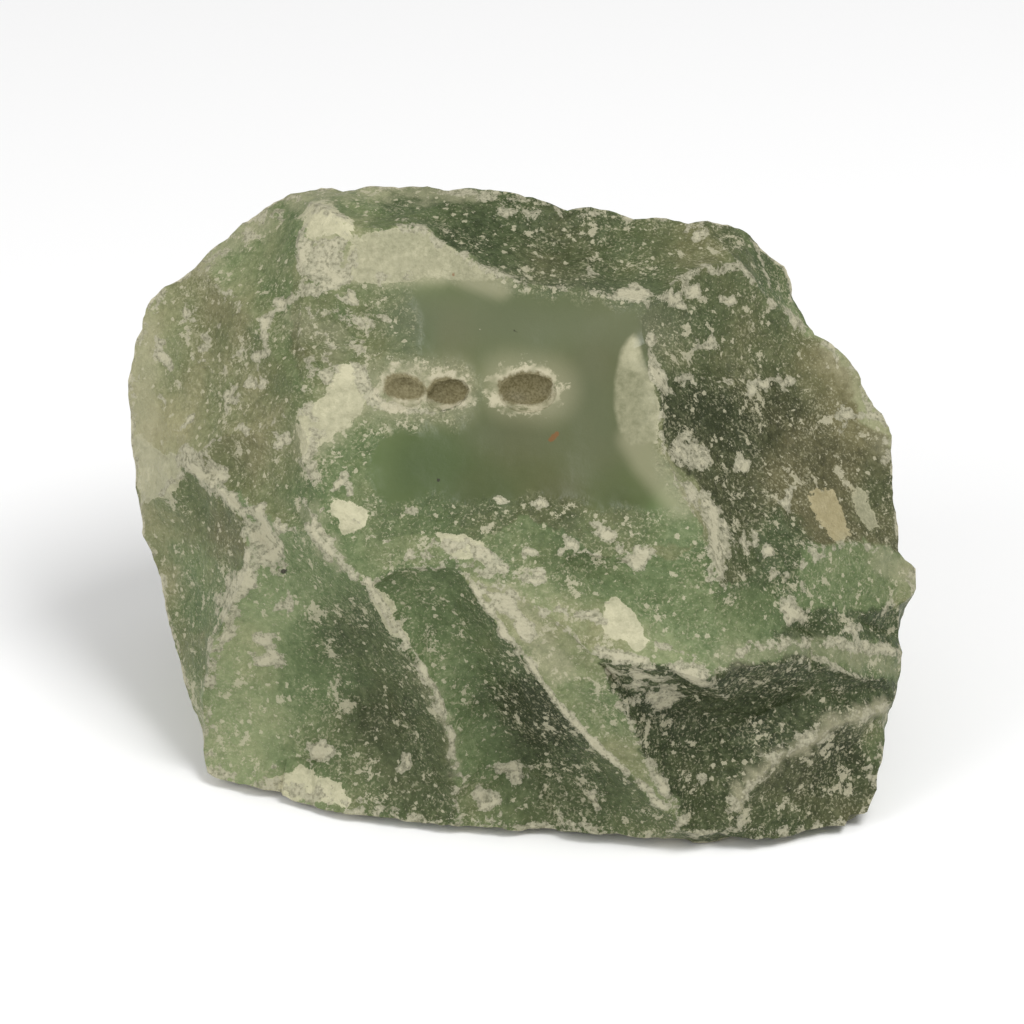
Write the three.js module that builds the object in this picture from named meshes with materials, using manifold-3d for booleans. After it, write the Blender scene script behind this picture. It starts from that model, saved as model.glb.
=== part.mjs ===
// A rough lump of green aventurine: one piece of broken quartzite whose shell-shaped scars
// meet in sharp ridges, with three round pits and one flat spot that it rests on.
// Millimetres, +Z up, the origin under the middle of its box.
//
// The side with the pits is a map of scars, laid on the photograph: each scar is a loop of
// ridge lines, hollow inside. The back and the underside are flat faces and scoops. A ball
// of small triangles is then blown out from the heart of the stone until it meets them.
import * as THREE from "three";
import { ImprovedNoise } from "three/addons/math/ImprovedNoise.js";
import { mergeVertices } from "three/addons/utils/BufferGeometryUtils.js";
import Module from "manifold-3d";

// Driving dimensions.
const WIDTH = 94; // across the side with the pits
const HEART_HEIGHT = 27.5; // the heart of the stone above what it rests on
const PIT_SIDE_TILT = 30; // degrees that the side with the pits looks up
const EYE_DISTANCE = 679; // from the heart to where the stone is seen from

// The photograph, in pixels of its 1024 px frame.
const PHOTO_WIDTH_OF_STONE = 788;
const PHOTO_HEART = [522, 515];
const RIM_FREE = [290, 230]; // half sizes of the middle, which no rim face reaches

// How finely the body is read.
const BALL_DETAIL = 20;
const EVENING_ROUNDS = 6;
const RAY_START = 18;
const RAY_STEP = 1.5;
const FINE_HALVINGS = 13;
const ROUGH_HALVINGS = 5;
const RIDGE_HALVINGS = 7;
const FACE_HALVINGS = 30;
const EVENING_STEP = 0.6; // share of the way to its neighbours' middle that a ray moves
const LOWEST_OUT = -6; // the side with the pits lies nearer than this everywhere (mm)
const NEAR_A_RIDGE = 0.4; // share of an edge within which its end moves onto the ridge
const PIT_SPHERE_CUTS = 24;
const SAME_PLACE = 1e-4; // corners nearer than this are one (mm)
const SAME_RAY = 1e-5;
const ALMOST_NONE = 1e-9; // keeps a division from going to nothing
const ON_A_LINE = 1e-6;
const RIM_FACE = -100; // faces are numbered: scars in hundreds, the chips on them in ones
const SCAR_STEP = 100;

// Broken faces are never true: the hidden ones are read through a slow wander, and the side
// with the pits rolls a little.
const WANDER = [
  { size: 17, by: 1.3 },
  { size: 6.5, by: 0.7 },
];
const ROLL = [
  { size: 120, by: 0.5 },
  { size: 42, by: 0.22 },
];
const WANDER_FROM = [7.1, 13.7, 29.3]; // where in the noise each starts
const ROLL_FROM = [3.3, 7.7];

// Rolls and dents leave the ridges alone: they come in over these distances (px) from them.
const ROLL_EASE = 14;
const DENT_EASE = 30;
const SCOOP_LEAN = 0.35; // how far the length of a scoop out of sight leans from level

// Corners where ridges meet: the place on the photograph, and how far out (mm) it lies
// from the heart towards the eye.
const CORNERS = {
  left: [137, 490, -2.5],
  temple: [196, 260, 1],
  top_left: [300, 188, 3.5],
  top_right: [700, 221, 6],
  shoulder: [804, 330, 4],
  nose_top: [903, 552, 5],
  nose_low: [908, 600, 6],
  band_end: [900, 650, 6.6],
  shelf_end: [893, 682, 6.8],
  curl_end: [889, 706, 7],
  curl_foot: [728, 839, 14],
  blade_foot: [690, 842, 14.5],
  fin_foot: [455, 821, 10],
  knee: [205, 745, 0],
  brow_end: [645, 300, 18.5],
  facet: [735, 262, 11],
  cliff_top: [636, 335, 20.3],
  waist_end: [706, 545, 25.7],
  cliff_foot: [721, 587, 25],
  olive: [303, 395, 19.5],
  waist: [318, 500, 22.5],
  fin_top: [310, 530, 22],
  fin_neck: [368, 583, 23],
  blade_top: [465, 577, 26.3],
  blade_low: [682, 822, 15.3],
  flank: [595, 655, 26],
  cheek: [182, 465, 6.5],
  white: [215, 486, 10.5],
  nose_corner: [797, 605, 18.5],
  nose_brow: [812, 545, 16.5],
  band: [770, 642, 23.5],
};

// Lines between corners: ridges, ledges and stretches of the outline.
const LINES = {
  rim_left: ["left", [138, 470, -2], [134, 450, -2], [131, 420, -1.5], [130, 375, -1],
    [138, 345, -1], [145, 310, -0.5], [155, 290, 0], [175, 280, 0.5], [195, 270, 1], "temple"],
  rim_temple: ["temple", [215, 248, 1.5], [240, 230, 2], [265, 212, 2.5], [280, 200, 3],
    "top_left"],
  rim_top: ["top_left", [325, 185, 4], [350, 188, 4.5], [400, 187, 5], [425, 184, 5],
    [445, 190, 6], [510, 189, 6], [530, 197, 6.5], [560, 207, 7], [600, 208, 7],
    [640, 219, 7], [660, 218, 6.5], "top_right"],
  rim_shoulder: ["top_right", [735, 223, 5], [750, 235, 4.5], [760, 250, 4], [783, 267, 3],
    [786, 280, 3], [785, 298, 3.5], [800, 310, 3.5], "shoulder"],
  rim_right: ["shoulder", [825, 342, 4], [835, 343, 3.5], [842, 358, 3.5], [852, 368, 3.5],
    [868, 402, 3.5], [886, 418, 3], [887, 430, 3], [884, 442, 3.5], [892, 455, 3.5],
    [887, 480, 4], [888, 500, 4.5], [895, 530, 5], "nose_top"],
  rim_nose: ["nose_top", [916, 573, 5], "nose_low"],
  rim_under_nose: ["nose_low", "band_end"],
  rim_band: ["band_end", "shelf_end"],
  rim_hollow: ["shelf_end", "curl_end"],
  rim_heel: ["curl_end", [880, 740, 7.5], [871, 770, 8], [873, 785, 8], [865, 803, 8.5],
    [850, 820, 9.5], [800, 825, 11], [750, 837, 13.5], "curl_foot"],
  rim_toe: ["curl_foot", [712, 846, 14.5], [700, 842, 14.5], "blade_foot"],
  rim_foot: ["blade_foot", [665, 840, 14], [640, 829, 12.5], [600, 828, 12],
    [560, 826, 11.5], [500, 824, 10.5], "fin_foot"],
  rim_trough: ["fin_foot", [400, 818, 9], [350, 811, 7.5], [300, 800, 5.5], [280, 790, 4],
    [240, 790, 3], [222, 780, 1.5], [205, 765, 0.5], "knee"],
  rim_cheek: ["knee", [211, 738, 0], [208, 725, 0], [193, 700, -0.5], [184, 670, -1],
    [178, 640, -1.5], [170, 610, -2], [162, 580, -2], [150, 550, -2.5], [143, 520, -2.5],
    "left"],
  brow: ["top_left", [318, 207, 11], [345, 217, 13], [365, 235, 14.5], [400, 224, 14],
    [430, 226, 14.5], [455, 250, 16], [500, 274, 17.5], [530, 283, 18], [590, 291, 18.5],
    "brow_end"],
  shoulder_fold: ["brow_end", [700, 268, 14.5], "facet"],
  facet_top: ["top_right", "facet"],
  facet_side: ["facet", [760, 290, 9.5], [785, 315, 6.5], "shoulder"],
  tongue_root: ["brow_end", "cliff_top"],
  tongue: ["cliff_top", [645, 350, 21.3], [655, 378, 22.6], [660, 400, 23.2],
    [658, 440, 24], [670, 470, 24.6], [683, 495, 25.1], "waist_end"],
  tongue_end: ["waist_end", "cliff_foot"],
  cliff: ["cliff_top", [664, 360, 20], [680, 410, 20.5], [694, 455, 20.8],
    [714, 505, 21.3], [729, 552, 22.3], "cliff_foot"],
  slab_foot: ["cliff_foot", [745, 580, 22.5], [775, 562, 19.5], "nose_brow"],
  nose_ridge: ["nose_brow", [850, 541, 11.5], [880, 543, 8], "nose_top"],
  nose_side: ["nose_brow", [800, 555, 17.5], [800, 580, 18.5], "nose_corner"],
  nose_edge: ["nose_corner", [815, 612, 17], [850, 612, 13], [880, 607, 9.5], "nose_low"],
  band_step: ["band", [785, 620, 20.5], "nose_corner"],
  band_top: ["band", [800, 640, 20], [850, 640, 14.5], [880, 645, 10], "band_end"],
  shelf_edge: ["flank", [625, 660, 27.3], [665, 668, 27.8], [700, 671, 27],
    [712, 678, 26.3], [735, 661, 25.2], [760, 665, 23.7], [800, 656, 20], [830, 665, 17],
    [850, 673, 15], [880, 678, 9.5], "shelf_end"],
  curl: ["curl_foot", [733, 803, 15.3], [747, 780, 16.2], [770, 760, 16.3],
    [800, 745, 15.5], [830, 722, 13.8], [860, 712, 11], [875, 706, 9], "curl_end"],
  waist_line: ["waist", [350, 512, 23.4], [378, 540, 24.4], [415, 532, 24.6],
    [455, 548, 25.8], [492, 534, 25.4], [520, 516, 24.9], [565, 530, 25.7],
    [598, 556, 26.6], [640, 548, 26.3], [668, 562, 26.6], "waist_end"],
  fall: ["top_left", [310, 214, 10.5], [297, 250, 12.6], [316, 290, 15.6], [296, 330, 17],
    [312, 362, 18.9], "olive"],
  olive_side: ["olive", [308, 450, 21.5], "waist"],
  waist_side: ["waist", "fin_top"],
  temple_fold: ["temple", [225, 290, 7], [255, 320, 11.5], [268, 350, 14], [285, 375, 17],
    "olive"],
  olive_foot: ["olive", [265, 428, 16], [215, 438, 11.5], [200, 452, 9.5], "cheek"],
  cheek_top: ["cheek", [160, 500, 2.5], "left"],
  cheek_step: ["cheek", "white"],
  white_top: ["white", [250, 502, 14.5], [290, 528, 19.5], "fin_top"],
  white_side: ["white", [243, 520, 13.5], [250, 575, 13.5], [226, 610, 10],
    [214, 645, 7], [204, 700, 3.5], "knee"],
  fin_root: ["fin_top", [345, 570, 22.5], "fin_neck"],
  fin: ["fin_neck", [382, 605, 22.3], [402, 642, 20.8], [418, 665, 19.8],
    [432, 695, 18.3], [447, 722, 17], [453, 775, 13.5], "fin_foot"],
  ledge: ["fin_neck", [385, 575, 24], [405, 560, 25], [425, 568, 25.3], [450, 560, 26],
    "blade_top"],
  blade: ["blade_top", [482, 602, 26.3], [504, 635, 25.5], [531, 667, 24.3],
    [551, 700, 22.8], [576, 727, 21.2], [602, 753, 19.7], [632, 777, 18],
    [656, 801, 16.6], "blade_low"],
  blade_end: ["blade_low", "blade_foot"],
  blade_back: ["flank", [606, 680, 24.8], [620, 700, 23.8], [640, 745, 21],
    [655, 770, 19], [676, 802, 16.5], "blade_low"],
  blade_root: ["blade_top", [500, 585, 26.8], [530, 600, 27], [560, 622, 27.2], "flank"],
};

// Scars: the loop of lines round each (a minus turns a line about), how deep it is hollowed
// and over what reach (px) from its ridges the hollow deepens.
const SCARS = {
  centre: { loop: "brow tongue_root tongue -waist_line -olive_side -fall", sag: 0.5, reach: 90 },
  top_band: { loop: "rim_top facet_top -shoulder_fold -brow", sag: 1, reach: 40 },
  facet: { loop: "rim_shoulder -facet_side -facet_top", sag: 0.4, reach: 20 },
  slab: {
    loop: "shoulder_fold facet_side rim_right -nose_ridge -slab_foot -cliff -tongue_root",
    sag: 1.5,
    reach: 70,
  },
  cliff: { loop: "cliff -tongue_end -tongue", sag: 0.2, reach: 12 },
  temple: { loop: "rim_temple fall -temple_fold", sag: 0.8, reach: 45 },
  olive: { loop: "rim_left temple_fold olive_foot cheek_top", sag: 0.6, reach: 60 },
  dark_olive: { loop: "olive_side waist_side -white_top -cheek_step -olive_foot", sag: 1.6, reach: 40 },
  cheek: { loop: "cheek_step white_side rim_cheek -cheek_top", sag: 2.2, reach: 35 },
  trough: { loop: "white_top fin_root fin rim_trough -white_side", sag: 3.6, reach: 80 },
  shell: { loop: "ledge blade blade_end rim_foot -fin", sag: 4.2, reach: 70 },
  flank: { loop: "blade_root blade_back -blade", sag: 0.5, reach: 30 },
  hollow: {
    loop: "shelf_edge rim_hollow -curl rim_toe -blade_end -blade_back",
    sag: 4.4,
    reach: 62,
  },
  heel: { loop: "rim_heel curl", sag: 1.8, reach: 40 },
  shelf: {
    loop:
      "waist_line tongue_end slab_foot nose_side -band_step band_top rim_band -shelf_edge " +
      "-blade_root -ledge -fin_root -waist_side",
    sag: 0.3,
    reach: 40,
  },
  nose: { loop: "nose_ridge rim_nose -nose_edge -nose_side", sag: 0.4, reach: 30 },
  under_nose: { loop: "nose_edge rim_under_nose -band_top band_step", sag: 2, reach: 16 },
};

// Smaller scars inside those: the middle and half sizes (px), the clock direction of the
// length, and the depth (mm).
const CHIPS = {
  left_eye: { at: [336, 331], half: [64, 34], along: 8, depth: 1.4 },
  cream: { at: [342, 425], half: [32, 44], along: 0, depth: 0.7 },
  band_trough: { at: [560, 247], half: [95, 26], along: -12, depth: 1.3 },
  band_right: { at: [690, 250], half: [40, 24], along: -20, depth: 0.9 },
  slab_upper: { at: [712, 352], half: [56, 24], along: -12, depth: 0.9 },
  notch: { at: [688, 700], half: [38, 24], along: -8, depth: 1.6 },
  shelf_dark: { at: [600, 575], half: [46, 22], along: -24, depth: 1.1 },
  foot_pale: { at: [318, 774], half: [46, 24], along: -8, depth: 1.3 },
  shell_foot: { at: [508, 782], half: [46, 24], along: 4, depth: 1.2 },
};

// Broad dents without an edge, given the same way.
const DENTS = {
  trough: { at: [372, 690], half: [130, 62], along: -66, depth: 2.2 },
  shell: { at: [515, 735], half: [110, 50], along: -52, depth: 1.2 },
  hollow: { at: [735, 705], half: [110, 50], along: 5, depth: 1.2 },
  centre: { at: [500, 330], half: [150, 90], along: 0, depth: 0.7 },
};

// Faces round the back and underneath: a place and the way the face looks, in x, y, z.
const HIDDEN_FACES = {
  back_left: { at: [-20, 29, 2], looks: [-0.3, 0.93, 0.1] },
  back_right: { at: [20, 30, 0], looks: [0.36, 0.92, 0.14] },
  back_top: { at: [-4, 25, 31.5], looks: [0.02, 0.78, 0.62] },
  back_top_right: { at: [26, 23.5, 25], looks: [0.42, 0.66, 0.62] },
  back_foot: { at: [6, 27, -20], looks: [0.1, 0.78, -0.62] },
  left_back: { at: [-44, 20, 0], looks: [-0.7, 0.7, 0.02] },
  right_back: { at: [39, 18, 2], looks: [0.74, 0.66, 0.1] },
  under_left: { at: [-37, 6, -26], looks: [-0.66, 0.2, -0.72] },
  under_right: { at: [42, 4, -26.5], looks: [0.62, 0.16, -0.77] },
  under_back: { at: [0, 16, -27], looks: [0.05, 0.3, -0.95] },
};

// Scoops out of sight: a ray from the heart [x, y, z], half length and width, and depth.
const HIDDEN_SCOOPS = {
  back_shell: { ray: [-0.3, 1, 0.1], half: [20, 15], depth: 4 },
  back_right_shell: { ray: [0.75, 0.8, 0.1], half: [16, 12], depth: 3.4 },
  back_crown: { ray: [-0.1, 0.9, 0.75], half: [18, 8], depth: 2.4 },
  left_shell: { ray: [-1, 0.6, -0.1], half: [14, 11], depth: 3 },
  right_shell: { ray: [1, 0.5, -0.35], half: [12, 9], depth: 2.4 },
  back_heel: { ray: [0.3, 0.9, -0.6], half: [15, 8], depth: 2.4 },
  under_shell: { ray: [-0.8, 0.25, -0.7], half: [13, 8], depth: 2 },
  back_low_shell: { ray: [-0.55, 0.9, -0.4], half: [17, 12], depth: 3 },
  back_high_shell: { ray: [0.4, 0.9, 0.55], half: [15, 10], depth: 2.4 },
};

// Round pits: the middle and half sizes (px), the clock direction and the depth (mm).
const PITS = {
  left: { at: [403, 388], half: [21, 16], along: 0, depth: 0.95 },
  middle: { at: [447, 391], half: [21, 15], along: 25, depth: 1.25 },
  right: { at: [525, 388], half: [28, 20], along: 0, depth: 1.35 },
};

// How fast the rim draws in behind its outline, by the clock direction from the heart.
const RIM_TAPERS = [
  [0, 0.62],
  [38, 0.85],
  [72, 0.34],
  [108, 0.26],
  [142, 0.6],
  [172, 0.95],
  [200, 0.62],
  [232, 0.3],
  [270, 0.12],
  [312, 0.2],
  [340, 0.48],
  [360, 0.62],
];
const RIM_RELIEF = { size: 10, by: 1.6, from: 7 }; // it grows over `from` mm behind the outline

const HEART = new THREE.Vector3();
const MM_PER_PX = WIDTH / PHOTO_WIDTH_OF_STONE;
const radians = THREE.MathUtils.degToRad;
const vector = (xyz) => new THREE.Vector3(...xyz);

// The axes of the side with the pits: right, up and out, towards the eye.
const tilt = radians(PIT_SIDE_TILT);
const [upY, upZ] = [Math.sin(tilt), Math.cos(tilt)];
const OUT = new THREE.Vector3(0, -upZ, upY);
const sideways = (clock) =>
  new THREE.Vector3(
    Math.cos(radians(clock)),
    Math.sin(radians(clock)) * upY,
    Math.sin(radians(clock)) * upZ,
  );

// The point in space that shows at a place of the photograph, this far out.
function placeOf([px, py, out]) {
  const scale = MM_PER_PX * (1 - out / EYE_DISTANCE);
  const right = (px - PHOTO_HEART[0]) * scale;
  const up = (PHOTO_HEART[1] - py) * scale;
  return new THREE.Vector3(right, up * upY - out * upZ, up * upZ + out * upY);
}

// The place of the photograph where a point in space shows, and how far out it lies.
function shownAt(x, y, z) {
  const up = y * upY + z * upZ;
  const out = z * upY - y * upZ;
  const scale = MM_PER_PX * (1 - out / EYE_DISTANCE);
  return [PHOTO_HEART[0] + x / scale, PHOTO_HEART[1] - up / scale, out];
}

function lineCalled(name) {
  if (name.startsWith("-")) return lineCalled(name.slice(1)).reverse();
  return LINES[name].map((place) => (typeof place === "string" ? CORNERS[place] : place));
}

// A closed loop of places from the names of its lines.
const loopOf = (names) => names.split(" ").flatMap((name) => lineCalled(name).slice(1));

const scars = Object.values(SCARS).map(({ loop, sag, reach }) => {
  const places = loopOf(loop);
  const [xs, ys] = [places.map(([px]) => px), places.map(([, py]) => py)];
  const box = [Math.min(...xs), Math.max(...xs), Math.min(...ys), Math.max(...ys)];
  return { places, sag, reach, box };
});

const outline = loopOf(
  "rim_left rim_temple rim_top rim_shoulder rim_right rim_nose rim_under_nose rim_band " +
    "rim_hollow rim_heel rim_toe rim_foot rim_trough rim_cheek",
);

function within(places, px, py) {
  let inside = false;
  for (let i = 0, j = places.length - 1; i < places.length; j = i++) {
    const [xi, yi] = places[i];
    const [xj, yj] = places[j];
    if (yi > py !== yj > py && px < ((xj - xi) * (py - yi)) / (yj - yi) + xi) inside = !inside;
  }
  return inside;
}

// The squared distance from a place to a stretch of a line, and where along it that falls.
function toStretch([xa, ya], [xb, yb], px, py) {
  const [dx, dy] = [xb - xa, yb - ya];
  const along = ((px - xa) * dx + (py - ya) * dy) / (dx * dx + dy * dy);
  const share = Math.min(1, Math.max(0, along));
  return { squared: (xa + share * dx - px) ** 2 + (ya + share * dy - py) ** 2, share };
}

// How far out a loop's lines would hold a film stretched across them (mean value weights).
function film(places, px, py) {
  const count = places.length;
  let sum = 0;
  let weights = 0;
  const halfTangent = (a, b) => {
    const [ax, ay, bx, by] = [a[0] - px, a[1] - py, b[0] - px, b[1] - py];
    const cross = ax * by - ay * bx;
    const dot = ax * bx + ay * by;
    const safe = Math.abs(cross) < ALMOST_NONE ? ALMOST_NONE : cross;
    return (Math.hypot(ax, ay) * Math.hypot(bx, by) - dot) / safe;
  };
  let before = halfTangent(places[count - 1], places[0]);
  for (let i = 0; i < count; i++) {
    const after = halfTangent(places[i], places[(i + 1) % count]);
    const away = Math.hypot(places[i][0] - px, places[i][1] - py) + ALMOST_NONE;
    const weight = (before + after) / away;
    sum += weight * places[i][2];
    weights += weight;
    before = after;
  }
  return sum / weights;
}

// The distance in from a loop's lines, eased where two lines are about as near.
function inFrom(places, px, py) {
  let sum = 0;
  for (let i = 0; i < places.length; i++) {
    const { squared } = toStretch(places[i], places[(i + 1) % places.length], px, py);
    sum += 1 / (squared * squared + ON_A_LINE);
  }
  return sum ** -0.25;
}

// The depth of a chip at a place: a dish that ends in an edge, or eased where fall is 2.
function dishMap({ at, half, along, depth }, fall) {
  const [c, s] = [Math.cos(radians(along)), Math.sin(radians(along))];
  return (px, py) => {
    const [x, y] = [px - at[0], at[1] - py];
    const share = ((x * c + y * s) / half[0]) ** 2 + ((y * c - x * s) / half[1]) ** 2;
    return share < 1 ? depth * (1 - share) ** fall : 0;
  };
}

const chips = Object.values(CHIPS).map((chip) => dishMap(chip, 1));
const dents = Object.values(DENTS).map((dent) => dishMap(dent, 2));

// How far out the side with the pits stands at a place, and which scar that is.
const noise = new ImprovedNoise();
function pitSide(px, py) {
  const at = scars.findIndex(
    ({ box, places }) =>
      px >= box[0] && px <= box[1] && py >= box[2] && py <= box[3] && within(places, px, py),
  );
  if (at < 0) return null;
  const { places, sag, reach } = scars[at];
  const inside = inFrom(places, px, py);
  const deep = 1 - (1 - Math.min(1, inside / reach)) ** 2;
  let out = film(places, px, py) - sag * deep;
  const [rollX, rollZ] = ROLL_FROM;
  for (const { size, by } of ROLL) {
    const share = Math.min(1, inside / ROLL_EASE);
    out += by * share * noise.noise(px / size + rollX, py / size, rollZ);
  }
  for (const dent of dents) out -= dent(px, py) * Math.min(1, inside / DENT_EASE);
  let chipped = 0;
  chips.forEach((chip, i) => {
    const by = chip(px, py);
    out -= by;
    if (by > 0) chipped = i + 1;
  });
  return { out, which: at * SCAR_STEP + chipped };
}

// Whether a place lies so far within the outline that the rim plays no part there.
const wellWithin = (px, py) =>
  ((px - PHOTO_HEART[0]) / RIM_FREE[0]) ** 2 + ((py - PHOTO_HEART[1]) / RIM_FREE[1]) ** 2 < 1;

function rimTaper(px, py) {
  const clock = THREE.MathUtils.radToDeg(Math.atan2(PHOTO_HEART[1] - py, px - PHOTO_HEART[0]));
  const turn = (clock + 360) % 360;
  const next = RIM_TAPERS.findIndex(([from]) => from > turn);
  const [[a, taperA], [b, taperB]] = [RIM_TAPERS[next - 1], RIM_TAPERS[next]];
  return taperA + ((taperB - taperA) * (turn - a)) / (b - a);
}

// How far a point lies outside the rim, which draws in behind its outline.
function beyondRim(px, py, out) {
  let least = Infinity;
  let rimOut = 0;
  for (let i = 0; i < outline.length; i++) {
    const [a, b] = [outline[i], outline[(i + 1) % outline.length]];
    const { squared, share } = toStretch(a, b, px, py);
    if (squared < least) {
      least = squared;
      rimOut = a[2] + (b[2] - a[2]) * share;
    }
  }
  const away = Math.sqrt(least) * MM_PER_PX * (within(outline, px, py) ? -1 : 1);
  const behind = Math.max(0, rimOut - out);
  const { size, by, from } = RIM_RELIEF;
  const relief = noise.noise((px * MM_PER_PX) / size, (py * MM_PER_PX) / size, out / size);
  return away + rimTaper(px, py) * behind + by * relief * Math.min(1, behind / from);
}

// A flat face, as a function of how far a point lies outside it.
function flat({ at, looks }) {
  const { x: a, y: b, z: c } = vector(looks).normalize();
  const d = a * at[0] + b * at[1] + c * at[2];
  return (x, y, z) => a * x + b * y + c * z - d;
}

const faces = Object.values(HIDDEN_FACES).map(flat);
const outsideFaces = ({ x, y, z }) => Math.max(...faces.map((face) => face(x, y, z)));

// Where a ray from the heart meets the hidden faces, and the way the face there looks.
function meetFaces(ray) {
  const low = HEART.clone();
  const high = ray.clone().setLength(WIDTH);
  for (let i = 0; i < FACE_HALVINGS; i++) {
    const middle = low.clone().lerp(high, 0.5);
    if (outsideFaces(middle) < 0) low.copy(middle);
    else high.copy(middle);
  }
  const nearest = faces.findIndex((face) => face(high.x, high.y, high.z) === outsideFaces(high));
  return { point: high, looks: vector(Object.values(HIDDEN_FACES)[nearest].looks).normalize() };
}

// The ellipsoid that cuts a dish of these half sizes and depth into a flat at the point.
function dish(point, looks, lengthways, [halfLength, halfWidth], depth) {
  const reach = halfWidth ** 2 / (2 * depth) + depth / 2;
  const share = Math.sqrt(1 - ((reach - depth) / reach) ** 2);
  const z = looks.clone().normalize();
  const x = lengthways.clone().addScaledVector(z, -lengthways.dot(z)).normalize();
  const y = z.clone().cross(x);
  const centre = point.clone().addScaledVector(z, reach - depth);
  return { centre, axes: [x, y, z], radii: [halfLength / share, halfWidth / share, reach] };
}

// A scoop out of sight, as a function of how far a point lies inside it.
function hiddenScoop({ ray, half, depth }) {
  const { point, looks } = meetFaces(vector(ray));
  const level = new THREE.Vector3(-looks.y, looks.x, SCOOP_LEAN);
  const { centre, axes, radii } = dish(point, looks, level, half, depth);
  const least = Math.min(...radii);
  const rows = axes.map((axis, i) => axis.clone().divideScalar(radii[i]).toArray());
  return (x, y, z) => {
    let sum = 0;
    for (const [a, b, c] of rows)
      sum += (a * (x - centre.x) + b * (y - centre.y) + c * (z - centre.z)) ** 2;
    return (1 - Math.sqrt(sum)) * least;
  };
}

const hidden = [...faces, ...Object.values(HIDDEN_SCOOPS).map(hiddenScoop)];

// How far the point along a ray lies outside the body, and which face puts it there.
function worst(ray, distance) {
  const [x, y, z] = [ray.x * distance, ray.y * distance, ray.z * distance];
  let [u, v, w] = [x, y, z];
  const [fromX, fromY, fromZ] = WANDER_FROM;
  for (const { size, by } of WANDER) {
    u += by * noise.noise(x / size + fromX, y / size, z / size);
    v += by * noise.noise(x / size, y / size + fromY, z / size);
    w += by * noise.noise(x / size, y / size, z / size + fromZ);
  }
  let most = -Infinity;
  let which = 0;
  for (let i = 0; i < hidden.length; i++) {
    const by = hidden[i](u, v, w);
    if (by > most) [most, which] = [by, -1 - i];
  }
  if (most > RAY_STEP) return { most, which };
  const [px, py, out] = shownAt(x, y, z);
  if (!wellWithin(px, py)) {
    const rim = beyondRim(px, py, out);
    if (rim > most) [most, which] = [rim, RIM_FACE];
  }
  const side = out > LOWEST_OUT ? pitSide(px, py) : null;
  if (side && out - side.out > most) [most, which] = [out - side.out, side.which];
  return { most, which };
}

// Where a ray from the heart first leaves the body, and by which face.
function surface(ray, halvings) {
  let far = RAY_START;
  while (worst(ray, far).most < 0) far += RAY_STEP;
  let near = far - RAY_STEP;
  for (let i = 0; i < halvings; i++) {
    const middle = (near + far) / 2;
    if (worst(ray, middle).most < 0) near = middle;
    else far = middle;
  }
  return { point: ray.clone().multiplyScalar(far), which: worst(ray, far).which };
}

// The triangles of a ball: rays to its corners, and three corners to each triangle.
function ball() {
  const first = new THREE.IcosahedronGeometry(1, BALL_DETAIL);
  first.deleteAttribute("normal");
  first.deleteAttribute("uv");
  const merged = mergeVertices(first, SAME_RAY);
  const position = merged.getAttribute("position");
  const rays = Array.from({ length: position.count }, (_, i) =>
    new THREE.Vector3().fromBufferAttribute(position, i).normalize(),
  );
  const triangles = [];
  for (let i = 0; i < merged.index.count; i += 3)
    triangles.push([0, 1, 2].map((k) => merged.index.getX(i + k)));
  return { rays, triangles };
}

function neighboursIn(triangles, count) {
  const near = Array.from({ length: count }, () => new Set());
  for (const [a, b, c] of triangles) {
    near[a].add(b).add(c);
    near[b].add(c).add(a);
    near[c].add(a).add(b);
  }
  return near.map((set) => [...set]);
}

// Moves each ray towards the middle of its neighbours' corners, so that the triangles of
// the stone come out of like size.
function evenOut(rays, near) {
  const corners = rays.map((ray) => surface(ray, ROUGH_HALVINGS).point);
  return rays.map((ray, i) => {
    const middle = new THREE.Vector3();
    for (const j of near[i]) middle.add(corners[j]);
    return ray.clone().lerp(middle.normalize(), EVENING_STEP).normalize();
  });
}

// The share of the way from one ray to another where the surface passes to another face.
function crossing(from, to, which) {
  let low = 0;
  let high = 1;
  for (let k = 0; k < RIDGE_HALVINGS; k++) {
    const middle = (low + high) / 2;
    const ray = from.clone().lerp(to, middle).normalize();
    if (surface(ray, ROUGH_HALVINGS * 2).which === which) low = middle;
    else high = middle;
  }
  return high;
}

// Moves each corner that lies close to a ridge along an edge onto that ridge.
function ontoRidges(rays, which, near) {
  const moved = new Map();
  rays.forEach((ray, i) => {
    let least = NEAR_A_RIDGE;
    for (const j of near[i]) {
      if (which[j] === which[i] || moved.has(j)) continue;
      const share = crossing(ray, rays[j], which[i]);
      if (share >= least) continue;
      least = share;
      moved.set(i, ray.clone().lerp(rays[j], share).normalize());
    }
  });
  return moved;
}

// Puts a corner on every ridge that an edge crosses: the edge's end where that is close,
// and otherwise a new corner that parts the triangles beside the edge.
function followRidges({ rays, triangles }) {
  const which = rays.map((ray) => surface(ray, FINE_HALVINGS).which);
  const moved = ontoRidges(rays, which, neighboursIn(triangles, rays.length));
  const all = rays.map((ray, i) => moved.get(i) ?? ray);
  const added = new Map();
  const between = (a, b) => {
    if (moved.has(a) || moved.has(b) || which[a] === which[b]) return null;
    const key = a < b ? `${a} ${b}` : `${b} ${a}`;
    if (!added.has(key)) {
      const share = crossing(all[a], all[b], which[a]);
      added.set(key, all.push(all[a].clone().lerp(all[b], share).normalize()) - 1);
    }
    return added.get(key);
  };
  const parted = triangles.flatMap(([a, b, c]) =>
    part([a, b, c], [between(a, b), between(b, c), between(c, a)]),
  );
  return { rays: all, triangles: parted };
}

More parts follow.
